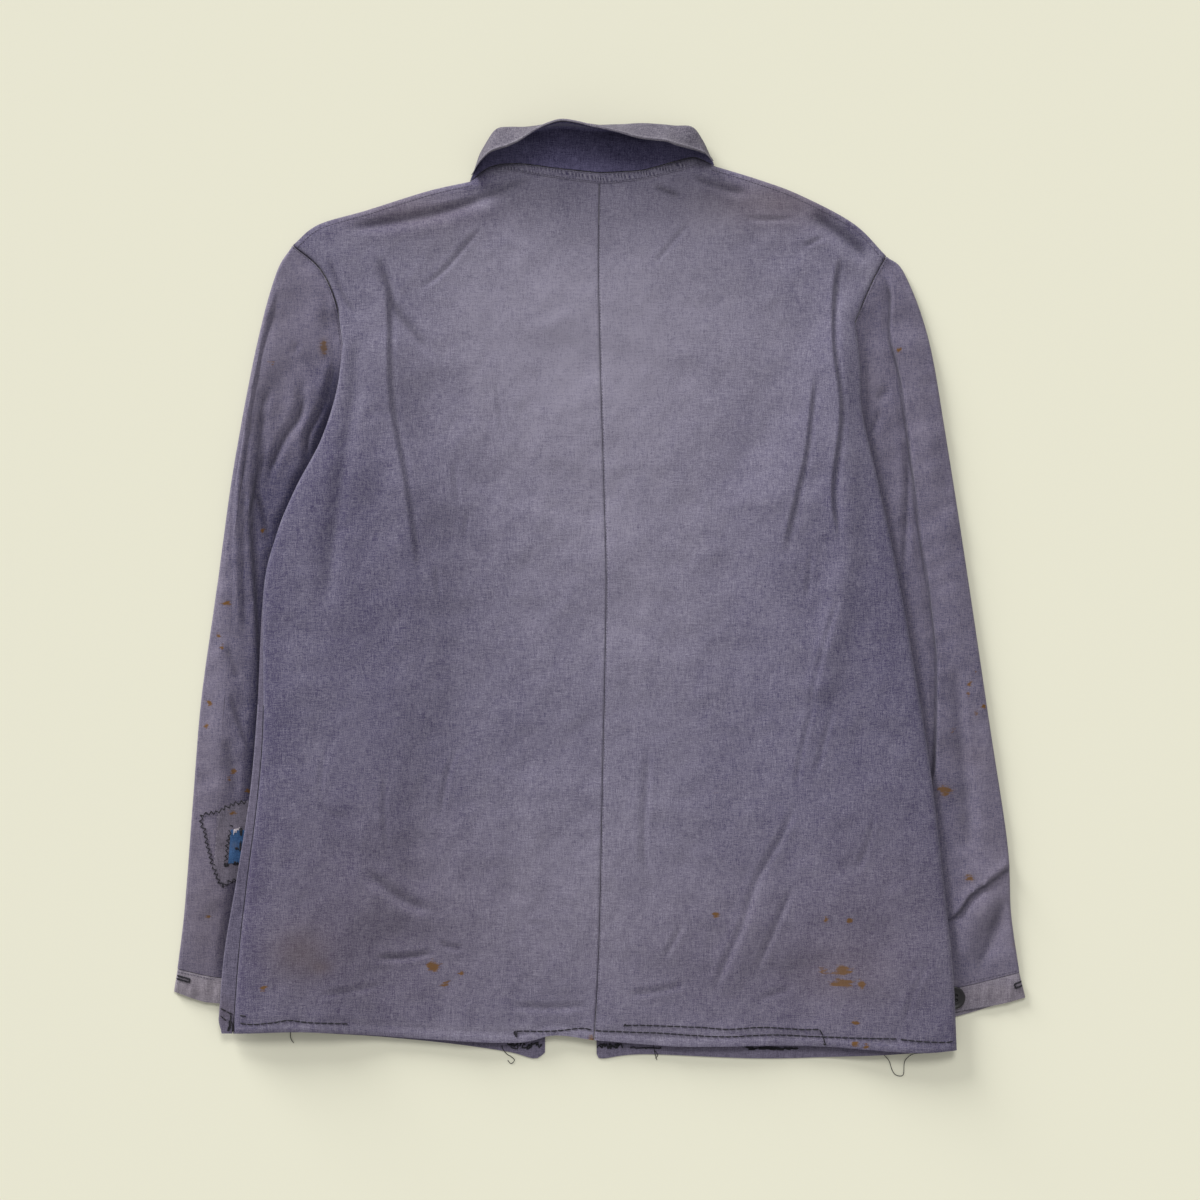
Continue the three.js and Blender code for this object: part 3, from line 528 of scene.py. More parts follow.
def cuff_band(name, seam, hem_over, hem_under, seed):
    top = spline(seam, 60) + (0, -1.5 * GAP)
    down = np.linspace(0, 1, 12)[:, None, None]
    rings = []
    for inset in (0, CUFF_WALL):
        sides = []
        for hem in (hem_over, hem_under):
            xy = (1 - down) * top[None] + down * spline(hem, 60)[None]
            width = np.hypot(*(xy[:, -1] - xy[:, 0]).T)[:, None]
            radius = CUFF_TOP / 2
            sides.append(across(xy, radius / width + (1 - 2 * radius / width) * np.linspace(0, 1, 61)[None]))
        over, under = sides
        puff = 0.6 * np.sin(math.pi * down[..., 0]) * np.ones((1, 61)) + crumple(over, seed, 30, 8, 0.25)
        puff += 0.35 * np.sin(over[..., 0] / 1.5 + np.sin(over[..., 0] / 5)) * np.sin(math.pi * down[..., 0])
        high = CUFF_TOP - inset + np.maximum(puff, 0)
        turn = np.linspace(math.pi / 2, -math.pi / 2, 7)[1:-1]
        reach = CUFF_TOP / 2 - inset
        ends = []
        for column, way in ((-1, 1), (0, -1)):
            side = (over[:, column] - over[:, column - way])
            side /= np.hypot(*side.T)[:, None]
            bend = over[:, None, column] + side[:, None] * (reach * np.cos(turn))[None, :, None]
            end = lay(bend, CUFF_TOP / 2 + reach * np.sin(turn)[None])
            ends.append(end if way > 0 else end[:, ::-1])
        rings.append(np.concatenate([
            lay(over, high), ends[0], lay(under, float(inset))[:, ::-1], ends[1],
        ], 1))
    outer, inner = rings
    rows, count = outer.shape[:2]
    index = np.arange(rows * count).reshape(rows, count)
    ahead = np.roll(index, -1, 1)
    skin = ring_quads(index)
    lips = []
    for row, flip in ((0, 1), (rows - 1, -1)):
        lip = np.stack([index[row], index[row] + rows * count, ahead[row] + rows * count, ahead[row]], -1)
        lips.append(lip[:, ::flip])
    points = np.concatenate([outer.reshape(-1, 3), inner.reshape(-1, 3)])
    return body(name, points, np.concatenate([skin, skin[:, ::-1] + rows * count] + lips))


CUFF_COTTON = cotton("worn_cuff_cotton", "#645e6c", "#968f99")
cuffs = {}
for side, seam, over, under in (
    ("left", CUFF_SEAM_LEFT, CUFF_HEM_LEFT, CUFF_HEM_LEFT),
    ("right", CUFF_SEAM_RIGHT, CUFF_HEM_RIGHT, CUFF_HEM_RIGHT_UNDER),
):
    piece = cuff_band(f"cuff_{side}_cloth", seam, over, under, 5)
    dress(piece, CUFF_COTTON, CUFF_FADE, SLEEVE_STAINS, SLEEVE_GRIME, level=0.45)
    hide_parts(f"cuff_{side}")
    cuffs[side] = piece

# Cuff buttons: turned dark plastic, 19 mm across, with a rim and four holes, sewn on with dark thread.
# The right one shows half out from under the body; the left one is hidden.
BUTTON_RADIUS = 9.5
BUTTON_THICK = 2.6
BUTTON_HOLE_OFF = 2.0
BUTTON_HOLE_DEEP = 1.2
BUTTON_SHANK = 0.6
BUTTON_SWIRL = 260  # 4 mm
BUTTONS = {"left": (-296, -331), "right": (295, -340)}
# Turned plastic: nearly black with a faint brownish swirl, half glossy where it is not yet rubbed dull.
plastic, tree, shader = plain_finish("dark_button_plastic")
place = node(tree, "TexCoord").outputs["Object"]
swirl = node(tree, "TexNoise", {"Vector": place, "Scale": BUTTON_SWIRL, "Detail": 4, "Distortion": 1.5})
tint = node(tree, "Mix", {0: swirl, 6: linear("#0c0b0e"), 7: linear("#1f1b1f")}, data_type="RGBA")
dull = node(tree, "MapRange", {0: swirl, 3: 0.3, 4: 0.55})
tree.links.new(tint.outputs[2], shader.inputs["Base Color"])
tree.links.new(dull.outputs[0], shader.inputs["Roughness"])


def button(name, x, y):
    turn = np.linspace(0, math.tau, 73)[:-1]
    profile = [(0.02, 0), (0.8, 0), (0.93, 0.2), (1, 0.5), (0.99, 0.8), (0.95, 0.97), (0.9, 1), (0.82, 0.97),
               (0.74, 0.84), (0.66, 0.77)] + [(r, 0.76) for r in np.linspace(0.6, 0.02, 26)]
    rings = np.array(profile)
    out = rings[:, 0, None] * BUTTON_RADIUS
    px, py = out * np.cos(turn), out * np.sin(turn)
    pz = np.repeat(rings[:, 1, None] * BUTTON_THICK, len(turn), 1)
    for sx, sy in ((1, 1), (1, -1), (-1, -1), (-1, 1)):
        d = np.hypot(px - sx * BUTTON_HOLE_OFF, py - sy * BUTTON_HOLE_OFF)
        pz -= np.where(np.arange(len(rings))[:, None] > 8, BUTTON_HOLE_DEEP * (1 - smooth((d - 0.8) / 0.5)), 0)
    points = np.stack([px + x, py + y, pz + CUFF_TOP + GAP + BUTTON_SHANK], -1)
    rows, count = px.shape
    index = np.arange(rows * count).reshape(rows, count)
    caps = []
    for row, flip in ((0, -1), (rows - 1, 1)):
        ring = index[row][::flip]
        caps += [(ring[k], ring[k + 1], ring[-k - 2], ring[-k - 1]) for k in range(count // 2 - 1)]
    return body(name, points.reshape(-1, 3), np.concatenate([ring_quads(index), np.array(caps)]))


for side, (x, y) in BUTTONS.items():
    piece = button(f"cuff_button_{side}_turned", x, y)
    piece.data.materials.append(plastic)
    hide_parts(f"cuff_button_{side}")

# Patches on the left sleeve: a square of much the same violet cotton, and a small bright blue one on it.
# Both are thin, are sewn down round their edges with zigzag stitches, and run on under the edge of the body.
PATCH = 0.9
BLUE_PATCH = 0.7
PATCH_SIDES = (
    [(-331, -189), (-317, -185), (-305, -179), (-286, -175)], [(-312.5, -247.5), (-301, -242), (-286, -238)],
    [(-331, -189), (-327, -206), (-322, -226), (-315, -244), (-312.5, -247.5)], [(-286, -175), (-286, -238)],
)
BLUE_SIDES = (
    [(-306, -200), (-288, -201)], [(-308, -228), (-289, -228)],
    [(-306, -200), (-307, -214), (-308, -228)], [(-288, -201), (-289, -228)],
)


# The cloth already laid, to find how high it is at any spot.
def surface(*pieces):
    trees = []
    for piece in pieces:
        points = [v.co.copy() for v in piece.data.vertices]
        trees.append(BVHTree.FromPolygons(points, [tuple(p.vertices) for p in piece.data.polygons]))
    return trees


def height_on(trees, xy):
    flat = np.asarray(xy, float).reshape(-1, 2)
    found = np.zeros(len(flat))
    for k, (x, y) in enumerate(flat):
        hits = [tree.ray_cast(Vector((x / 1000, y / 1000, 0.2)), Vector((0, 0, -1)))[0] for tree in trees]
        tops = [hit.z * 1000 for hit in hits if hit is not None]
        found[k] = max(tops) if tops else 0.0
    return found.reshape(np.shape(xy)[:-1])


def laid_on(name, trees, sides, thick, count):
    top, bottom, left, right = (spline(side, count) for side in sides)
    xy = coons(top, bottom, left, right)
    z = height_on(trees, xy) + GAP
    return shell(name, lay(xy, z), lay(xy, z + thick))


PATCH_COTTON = cotton("patch_cotton", "#544f5c", "#7b7483")
BLUE_COTTON = cotton("blue_patch_cotton", "#26446e", "#41658f")
patch = laid_on("sleeve_patch_cloth", surface(sleeves["left", "under"]), PATCH_SIDES, PATCH, 36)
dress(patch, PATCH_COTTON, [], [(-305, -185, 5, 3, 0.4)], [(-315, -215, 12, 25, 0.15)],
      level=0.4)
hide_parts("sleeve_patch")
blue_patch = laid_on("sleeve_patch_blue_cloth", surface(patch), BLUE_SIDES, BLUE_PATCH, 20)
dress(blue_patch, BLUE_COTTON, [], [], [(-303, -213, 3, 3, 0.4)], level=0.45)
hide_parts("sleeve_patch_blue")

# Fronts: two panels of violet cotton, face down on the floor with a gap between them at the centre.
# At the sides they ride over the sleeves; the left one turns over the side and meets the back.
LIFT = 6.2
LIFT_RAMP = 60
LIFT_BUTTON = 1.6
PUFF = 4.4
TURN_FROM = -95
SHOULDER_LEFT = [(-107.5, 339), (-143, 331), (-194, 315), (-234, 303), (-255, 286)]
SHOULDER_RIGHT = [(96, 352), (132, 341), (167, 328), (212, 304), (239, 277)]
FRONT_NECK_LEFT = [(-42, 258), (-62, 276), (-92, 306), (-107.5, 339)]
FRONT_NECK_RIGHT = [(-4, 260), (38, 276), (78, 310), (96, 352)]
FRONT_EDGE_LEFT = [(-42, 258), (-43, 0), (-45, -386)]
FRONT_EDGE_RIGHT = [(-4, 260), (-3, 0), (-2, -387)]
HEM_FRONT_LEFT = [
    (-45, -386), (-54, -391), (-78, -385), (-138, -377), (-231, -369), (-290, -367), (-309, -365), (-316, -358),
]
HEM_FRONT_RIGHT = [(-2, -387), (-0.5, -390), (4, -391), (39, -387.5), (136, -391), (226, -388), (297, -383)]
SEAM_LEFT = EDGE_LEFT[:6] + [(-279, -107), (-284, -175), (-292, -238), (-299, -301), (-304, -369)]
SLEEVE_REACH = [(-400, 240), (-350, 233), (-100, 172), (70, 150), (145, 200), (203, 213), (286, 255)]


# The height of the fronts over the floor: they are carried up by the sleeves and buttons under them.
def lift(xy):
    at, reach = np.array(SLEEVE_REACH, float).T
    inside = np.interp(xy[..., 1], at, reach) - np.abs(xy[..., 0])
    bumps = [smooth((80 - np.hypot(xy[..., 0] - x, xy[..., 1] - y)) / 45) for x, y in BUTTONS.values()]
    ramp = np.clip((290 - xy[..., 1]) / 90, 0, 1)
    return LIFT * smooth(1 - inside / LIFT_RAMP) * ramp + LIFT_BUTTON * np.maximum(*bumps)


def side_rows(arm, edge, upper=50, lower=190):
    return chain(spline(arm, upper), spline(edge, lower))


VIOLET_COTTON = cotton("violet_cotton", "#524d60", "#7e778b")
fronts = {}
for side, neck, shoulder, arm, edge, centre, hem in (
    ("left", FRONT_NECK_LEFT, SHOULDER_LEFT, ARM_LEFT, EDGE_LEFT, FRONT_EDGE_LEFT, HEM_FRONT_LEFT),
    ("right", FRONT_NECK_RIGHT, SHOULDER_RIGHT, ARM_RIGHT, EDGE_RIGHT, FRONT_EDGE_RIGHT, HEM_FRONT_RIGHT),
):
    top = chain(spline(neck, 24), spline(shoulder, 48))
    xy = coons(top, spline(hem, 72), spline(centre, 240), side_rows(arm, edge))
    z = lift(xy)
    fronts[side] = wall(lay(xy, z), lay(xy, z + CLOTH))


# The left front's narrow turn over the side, up to the side seam.
def side_turn():
    seam = spline(SEAM_LEFT, 190)
    seam = seam[seam[:, 1] < TURN_FROM]
    rim = spline(EDGE_LEFT, 400)[::-1]
    edge = np.interp(seam[:, 1], rim[:, 1], rim[:, 0]) + 2.5 * smooth((-354 - seam[:, 1]) / 15) ** 2
    base = lift(seam)[:, None]
    high = 2 * CLOTH + GAP
    turn = np.linspace(-math.pi / 2, -3 * math.pi / 2, 9)[None]
    faces = []
    for inset in (0, CLOTH):
        radius = high / 2 - inset
        fold_x = edge[:, None] + high / 2 + radius * np.cos(turn)
        fold_z = base + high / 2 + radius * np.sin(turn)
        foot = edge[:, None] + np.linspace(8, high / 2, 3)[None, :-1]
        strip = fold_x[:, -1:] + (seam[:, :1] - GAP - fold_x[:, -1:]) * np.linspace(0, 1, 7)[None, 1:]
        x = np.concatenate([foot, fold_x, strip], 1)
        low = base + inset + (0.1 if inset == 0 else -0.1)
        z = np.concatenate([low + 0 * foot, fold_z, base + high - inset + 0 * strip], 1)
        faces.append(np.stack([x, np.broadcast_to(seam[:, 1:], x.shape), z], -1))
    return wall(faces[1], faces[0])


points, quads = side_turn()
flat_points, flat_quads = fronts["left"]
fronts["left"] = (np.concatenate([flat_points, points]), np.concatenate([flat_quads, quads + len(flat_points)]))
for side, form in fronts.items():
    piece = body(f"front_{side}_cloth", *form)
    fronts[side] = piece
    # The dark spot at (-308, -230), over the strip that turns round the left side, is painted shade.
    dress(piece, VIOLET_COTTON, [(100, -385, 120, 10, 0.2), (-308, -230, 16, 130, -0.4)], [],
          [(-312, -352, 12, 14, 0.25)], level=0.42)
    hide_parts(f"front_{side}")

# Backs: two panels of the same cotton, faded grey across the shoulder blades and violet at the sides.
# They meet at the felled centre seam, ride up over the sleeves at the sides and end in a narrow stitched hem.
NECK_LEFT = [(0, 346.5), (-34, 350), (-68, 354), (-91, 351), (-107.5, 339)]
NECK_RIGHT = [(0, 346.5), (22, 347.5), (38, 349), (64, 356), (80, 359), (96, 352)]
CENTRE_BACK = [(0, 346.5), (0, 240), (4, 90), (6, 0), (3, -159), (0, -297), (-4, -375)]
HEM_BACK_LEFT = [(-4, -376), (-37, -372), (-69, -378), (-138, -375), (-237, -368), (-304, -369)]
HEM_BACK_RIGHT = [(-4, -376), (67, -381), (146, -380), (197, -381), (262, -385), (297, -383)]
HEM_DEEP = 9.0
SIDE_ROLL = 45
TOP_ROLL = 35
EDGE_ROUND = 2.5
BACK_FOLDS = [
    ("ridge", [(-200, 280), (-140, 292), (-80, 312)], 0.8, 16),
    ("ridge", [(-175, 217), (-165, 118), (-152, 22)], 1.9, 16),
    ("ridge", [(206, 250), (202, 174), (205, 36), (180, -105)], 3.1, 12),
    ("ridge", [(150, -231), (125, -286), (102, -341)], 1.8, 12),
    ("ridge", [(-194, -245), (-158, -272), (-136, -281)], 1.9, 14),
    ("crease", [(-253, 285), (-244, 295), (-234, 301), (-222, 306), (-205, 310)], 0.7, 1.8),
    ("crease", [(237, 277), (226, 290), (205, 304), (180, 317)], 0.5, 1.8),
    ("crease", [(-50, 344), (-84, 331), (-117, 318), (-157, 308), (-215, 299)], 2.8, 4.8),
    ("crease", [(-70, 340), (-108, 330), (-150, 322)], 0.8, 1.9),
    ("crease", [(-94, 303), (-109, 288), (-132, 262), (-152, 248)], 0.8, 1.8),
    ("crease", [(-184, 278), (-175, 251), (-170, 235), (-157, 217), (-135, 190)], 2.6, 4.0),
    ("crease", [(-226, 278), (-212, 243), (-197, 224)], 1.9, 3.1),
    ("lap", [(-152, 10), (-153, 24), (-162, 90), (-174, 156), (-176, 217), (-177, 262)], 1.6, 12),
    ("crease", [(-136, 22), (-133, -9)], 0.7, 1.8),
    ("crease", [(-86, 174), (-80, 129)], 0.5, 1.9),
    ("crease", [(-122, 108), (-116, 67)], 0.6, 1.8),
    ("crease", [(-109, 65), (-112, 40)], 0.5, 1.8),
    ("crease", [(-203, 215), (-206, 160), (-214, 100), (-222, 40), (-228, -20)], 1.8, 7.0),
    ("crease", [(-171, -47), (-159, -52)], 0.6, 1.8),
    ("crease", [(-226, -125), (-231, -168), (-223, -186), (-204, -189)], 0.5, 1.8),
    ("crease", [(-178, -149), (-178, -193), (-175, -222)], 0.7, 1.9),
    ("crease", [(-116, -128), (-126, -154), (-134, -198)], 0.7, 1.9),
    ("crease", [(-194, -232), (-175, -249), (-158, -260), (-136, -269)], 2.2, 4.2),
    ("crease", [(-189, -307), (-162, -306), (-136, -302)], 1.6, 2.0),
    ("crease", [(-133, -292), (-126, -297), (-112, -299)], 1.3, 1.8),
    ("crease", [(-62, -278), (-42, -278)], 0.5, 1.8),
    ("crease", [(-77, -346), (-40, -348), (-6, -346)], 1.0, 2.3),
    ("crease", [(-236, -338), (-175, -328)], 0.7, 2.3),
    ("crease", [(75, 348), (84, 340), (106, 333), (127, 327)], 2.4, 3.1),
    ("crease", [(44, 335), (68, 326)], 2.6, 2.0),
    ("crease", [(58, 340), (77, 339)], 0.7, 1.8),
    ("crease", [(119, 308), (140, 307), (164, 308)], 0.7, 1.8),
    ("crease", [(175, 315), (193, 302), (214, 286), (226, 270)], 4.8, 8),
    ("crease", [(77, 307), (44, 268)], 0.7, 1.9),
    ("crease", [(169, 284), (188, 293)], 0.7, 1.8),
    ("lap", [(197, 36), (192, 83), (199, 147), (193, 201), (194, 249), (200, 282)], 2.2, 14),
    ("lap", [(154, 28), (155, 47), (169, 108), (173, 138), (178, 182)], 1.6, 10),
    ("crease", [(176, 36), (172, -13)], 0.7, 1.8),
    ("crease", [(201, 2), (186, -47), (172, -105)], 0.8, 1.9),
    ("crease", [(180, -84), (167, -139), (163, -172)], 0.7, 1.9),
    ("crease", [(194, -98), (178, -158)], 0.7, 1.9),
    ("crease", [(42, -126), (39, -164), (37, -219), (45, -248)], 0.8, 2.8),
    ("crease", [(70, -278), (53, -308)], 0.7, 1.9),
    ("crease", [(72, -267), (79, -283)], 0.6, 1.8),
    ("crease", [(166, -172), (150, -208), (131, -242), (118, -281), (102, -317), (94, -341)], 0.9, 2.6),
    ("crease", [(163, -242), (144, -286), (128, -322)], 0.9, 2.3),
    ("crease", [(228, -181), (224, -208), (211, -239)], 0.5, 1.8),
    ("crease", [(274, -308), (260, -336), (252, -363)], 0.5, 1.8),
    ("crease", [(22, -337), (48, -334), (75, -328)], 0.8, 2.3),
    ("crease", [(131, -341), (161, -332)], 0.7, 1.9),
]
BACK_COTTON = cotton("faded_back_cotton", "#58536a", "#8c8797")
# Fading of the back, with some painted light and shade: the dark spots below the left shoulder crease and under the
# collar's left end are painted shade, the light spot at the top of the right armhole is painted light.
BACK_FADE_AND_SHADE = [
    (-20, 220, 150, 130, 0.68), (20, 20, 120, 150, 0.4), (-20, -250, 120, 110, 0.36), (-150, 280, 60, 40, 0.1),
    (130, 250, 70, 90, 0.22), (98, 308, 26, 16, 0.2), (228, 266, 14, 18, 0.35), (-118, 311, 30, 8, -0.3),
    (-168, 302, 40, 8, -0.25), (-215, 295, 50, 20, 0.1), (60, -372, 200, 9, 0.15), (-150, -368, 140, 9, 0.15),
    (-225, 110, 22, 90, -0.06), (-101, 340, 15, 8, -0.4), (-200, 20, 50, 150, -0.1), (225, -60, 40, 150, -0.08),
]
BACK_STAINS = [
    (-138, -314, 7, 4.2, 0.85), (-128, -328, 5, 2.8, 0.75), (-115, -320, 3, 2.5, 0.57), (-278, -332, 4, 3, 0.67),
    (203, -317, 8, 4, 0.8), (186, -317, 6, 4, 0.5), (202, -327, 13, 3.5, 0.72), (218, -328, 2.5, 5, 0.67),
    (213, -360, 4, 3, 0.6), (97, -271, 3.5, 3, 0.67), (188, -275, 3, 3, 0.67), (208, -275, 3, 3, 0.67),
    (212, -378, 4, 2.5, 0.6), (222, -379, 3, 2.5, 0.6), (-7, -374, 4, 3, 0.7),
]
# Grime, and painted shade: the two bands along the shoulders are partly grime and partly painted shade.
BACK_GRIME_AND_SHADE = [
    (-248, -302, 26, 22, 0.45), (-230, -314, 9, 6, 0.3), (240, -260, 60, 90, 0.1), (200, -320, 40, 25, 0.2),
    (-190, -290, 140, 110, 0.26), (-160, 316, 65, 20, 0.42), (150, 322, 60, 22, 0.55), (150, -310, 170, 90, 0.22),
]


# From 0 at an edge up to 1, as a quarter circle.
def quarter_round(share, most=1):
    return np.sqrt(np.clip(1 - np.clip(1 - share, 0, most) ** 2, 0, 1))


backs = {}
for side, neck, shoulder, arm, edge, hem, seam_gap, dusk in (
    ("left", NECK_LEFT, SHOULDER_LEFT, ARM_LEFT, SEAM_LEFT, HEM_BACK_LEFT, -GAP / 2, 0.24),
    ("right", NECK_RIGHT, SHOULDER_RIGHT, ARM_RIGHT, EDGE_RIGHT, HEM_BACK_RIGHT, GAP / 2, 0.06),
):
    top = chain(spline(neck, 60), spline(shoulder, 76))
    xy = coons(top, spline(hem, 136), spline(CENTRE_BACK, 296), side_rows(arm, edge, 60, 236))
    near = [xy[:, :1] + share * (xy[:, 1:2] - xy[:, :1]) for share in (0.2, 0.4, 0.7)]
    xy = np.concatenate([xy[:, :1], *near, xy[:, 1:]], 1)
    from_side = line_distance(xy, spline(arm, 20))[0]
    from_side = np.minimum(from_side, line_distance(xy, spline(edge, 60))[0])
    from_top = line_distance(xy, top)[0]
    from_shoulder = line_distance(xy, spline(shoulder, 40))[0]
    from_hem = line_distance(xy, spline(hem, 60))[0]
    from_seam = line_distance(xy, spline(CENTRE_BACK, 60))[0]
    xy[:, 0, 0] += seam_gap
    rise = quarter_round(from_side / SIDE_ROLL) * quarter_round(from_top / TOP_ROLL)
    # Painted shade in the bottoms of the creases and laps, along the shoulder edges, and down the sides below the
    # armholes, most on the left.
    painted_deep_shade = np.tile(painted_crease_shade(xy, BACK_FOLDS).ravel(), 2)
    painted_shading = -0.14 * np.exp(-((from_shoulder / 15) ** 2))
    painted_shading -= dusk * np.exp(-((from_side / 16) ** 2)) * smooth((110 - xy[..., 1]) / 80)
    form = PUFF + relief(xy, BACK_FOLDS) + crumple(xy, 3, 110, 24, 0.48) + crumple(xy, 4, 30, 9, 0.12)
    form -= 1.0 * np.exp(-((from_seam / 0.8) ** 2))
    form += 0.5 * smooth(1 - from_hem / HEM_DEEP) - 0.5 * np.exp(-(((from_hem - HEM_DEEP) / 2) ** 2))
    z = lift(xy) + CLOTH + GAP + rise * np.maximum(form, 0.2)
    xy = xy + rise[..., None] * slip(xy, BACK_FOLDS)
    thick = CLOTH * quarter_round(np.minimum(from_side, from_hem) / EDGE_ROUND, 0.97)
    backs[side] = shell(f"back_{side}_cloth", lay(xy, z), lay(xy, z + thick))
    dress(backs[side], BACK_COTTON, BACK_FADE_AND_SHADE, BACK_STAINS, BACK_GRIME_AND_SHADE, level=0.18,
          painted_shading=np.tile(painted_shading.ravel(), 2), painted_deep_shade=painted_deep_shade)
    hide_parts(f"back_{side}")

# Neck tape: a narrow strip of the faded cotton, felled over the neck seam to cover its raw edges.
# Its two rows of stitching have drawn it up, so it puckers all along, and its ends run out flat.
TAPE = 0.9
TAPE_EDGE = 0.25
TAPE_SIDES = (
    [(-84, 351.5), (-68, 353.7), (-34, 349.7), (0, 346.2), (22, 347.2), (38, 348.7), (64, 355.7), (80, 358.7)],
    [(-85, 347), (-71, 347.5), (-44, 343), (-12, 338.5), (7, 337), (38, 341), (67, 348), (83, 353)],
    [(-84, 351.5), (-85, 347)], [(80, 358.7), (83, 353)],
)
back_top = surface(backs["left"], backs["right"])
top, bottom, left, right = (spline(side, n) for side, n in zip(TAPE_SIDES, (340, 340, 10, 10)))
xy = coons(top, bottom, left, right)
z = height_on(back_top, xy)
z[:, 1:-1] = np.maximum(z[:, 1:-1], (z[:, 2:] + z[:, :-2]) / 2) + GAP
z[:, 0] += GAP
z[:, -1] += GAP
bow = np.sin(math.pi * np.linspace(0, 1, 11))[:, None]
x, y = xy[..., 0], xy[..., 1]
pucker = 0.8 * bow * np.sin(x * 2.1 + 2.2 * np.sin(x / 7) + 2 * np.sin(x / 2.9) + y / 2)
pucker *= 0.6 + 0.6 * np.sin(x / 5 + y)
ends = smooth(np.minimum(x + 86, 83 - x) / 14)
pucker *= ends
thick = TAPE_EDGE + (TAPE - TAPE_EDGE) * np.sqrt(bow) * (0.2 + 0.8 * ends)
neck_tape = shell("neck_tape_cloth", lay(xy, z), lay(xy, z + thick + pucker))
# Painted light and shade on the puckers: lighter on their crests, darker in their troughs.
dress(neck_tape, BACK_COTTON, [], level=0.42, painted_shading=np.tile(0.7 * pucker.ravel(), 2))
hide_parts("neck_tape")

# Collar: two plies of cotton. The stand rises from the neck seam, rolls over and ends in the leaf.
# The under side kept its dark violet; the leaf is worn to a pale grey, and its edge is stitched into a welt.
# The front stretches lie hidden, flat on the floor.
COLLAR_ROLL = 4.5
COLLAR_LEAF = 22
COLLAR_RISE = 4
PLY = GAP / 2 + CLOTH
COLLAR_BASE = [
    (-106, 340), (-99, 346), (-89, 352), (-74, 354.5), (-57, 353), (-32, 350.5),
    (1, 347.5), (34, 349), (58, 355), (74, 359), (87, 357), (94, 354),
]
COLLAR_FOLD = [
    (-104, 348), (-98, 363), (-87, 380), (-75, 384), (-58, 384), (-32, 387),
    (1, 385), (36, 386), (59, 385), (77, 384), (86, 373), (93, 360),
]
COLLAR_EDGE = [
    (-105, 344), (-98, 354), (-87, 361), (-75, 366), (-58, 375), (-32, 386),
    (1, 380), (36, 371), (59, 369), (77, 364), (87, 361), (93.5, 357),
]
neck = resample(chain(spline(NECK_LEFT, 60)[::-1], spline(NECK_RIGHT, 60)), 150) + (0, GAP)
knots = np.linspace(0, len(COLLAR_BASE) - 1, 600)
at = np.interp(neck[:, 0], catmull(COLLAR_BASE, knots)[:, 0], knots)
out = catmull(COLLAR_FOLD, at) - neck
reach = np.hypot(*out.T)
way = out / reach[:, None]
back_by = reach - np.sum((catmull(COLLAR_EDGE, at) - neck) * way, 1)
roll = np.minimum(COLLAR_ROLL, 0.3 * reach)
leaf = np.minimum(COLLAR_LEAF, 0.75 * reach)
stand = reach - roll - PLY
tries = np.linspace(0.45, 0.95, 400)[None] * math.pi
falls = roll[:, None] * (1 - np.sin(tries)) - leaf[:, None] * np.cos(tries)
turn = tries[0, np.argmin(np.abs(falls - back_by[:, None]), 1)]
turn = np.convolve(np.pad(turn, 6, mode="edge"), np.ones(13) / 13, mode="valid")
rise = COLLAR_RISE * np.sin(math.pi * np.linspace(0, 1, len(neck)))
base = CLOTH + GAP + PLY
part = np.linspace(0, 1, 14)[None, :-1]
run = [stand[:, None] * part, base + rise[:, None] * smooth(part), 0 * part + 0 * stand[:, None]]
part = np.linspace(0, 1, 16)[None]
angle = turn[:, None] * part
run = [np.concatenate(pair, 1) for pair in zip(run, [
    stand[:, None] + roll[:, None] * np.sin(angle),
    base + rise[:, None] + roll[:, None] * (1 - np.cos(angle)), angle,
])]
part = np.concatenate([np.linspace(0, 0.86, 11)[1:], [0.89, 0.915, 0.935, 0.955, 0.97, 0.985, 0.995, 1]])[None]
run = [np.concatenate(pair, 1) for pair in zip(run, [
    run[0][:, -1:] + leaf[:, None] * part * np.cos(turn)[:, None],
    run[1][:, -1:] + leaf[:, None] * part * np.sin(turn)[:, None], turn[:, None] + 0 * part,
])]
wave = crumple(np.stack([np.broadcast_to(neck[:, :1], run[0].shape), run[0] + run[1]], -1), 8, 60, 14, 0.45)
wave *= smooth(np.linspace(0, 1, run[0].shape[1]) / 0.25)[None]
pinch = 0.25 + 0.75 * smooth(np.minimum(np.arange(len(neck)), np.arange(len(neck))[::-1]) / 8)


def collar_face(off):
    off = off * pinch[:, None]
    along = run[0] + (off + wave) * np.sin(run[2])
    xy = neck[:, None] + way[:, None] * along[..., None]
    return lay(xy, run[1] - (off + np.minimum(wave, 0.3)) * np.cos(run[2]))


LEAF_COTTON = cotton("worn_leaf_cotton", "#524d59", "#837e88")
DARK_COTTON = cotton("unfaded_under_collar_cotton", "#413d5a", "#6e698a")
welt = np.concatenate([np.zeros(run[0].shape[1] - part.shape[1]), part[0]])
thick = CLOTH + 0.5 * smooth((welt - 0.86) / 0.06)
thick = thick * np.sqrt(1 - np.clip((welt - 0.95) / 0.05, 0, 1) ** 2)
collar_upper = shell("collar_upper_cloth", collar_face(GAP / 2), collar_face((GAP / 2 + thick)[None]))
# Painted highlight: the colour of the welt along the leaf's edge is made lighter.
rim = np.tile(0.4 * smooth((welt - 0.88) / 0.06), 2 * len(neck))
dress(collar_upper, LEAF_COTTON, [(-80, 372, 25, 20, 0.1), (70, 372, 25, 20, 0.1)],
      level=0.03, painted_shading=rim)
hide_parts("collar_upper")
inside = run[0].shape[1] - 8
collar_under = shell("collar_under_cloth", collar_face(-PLY)[:, :inside], collar_face(-GAP / 2)[:, :inside])
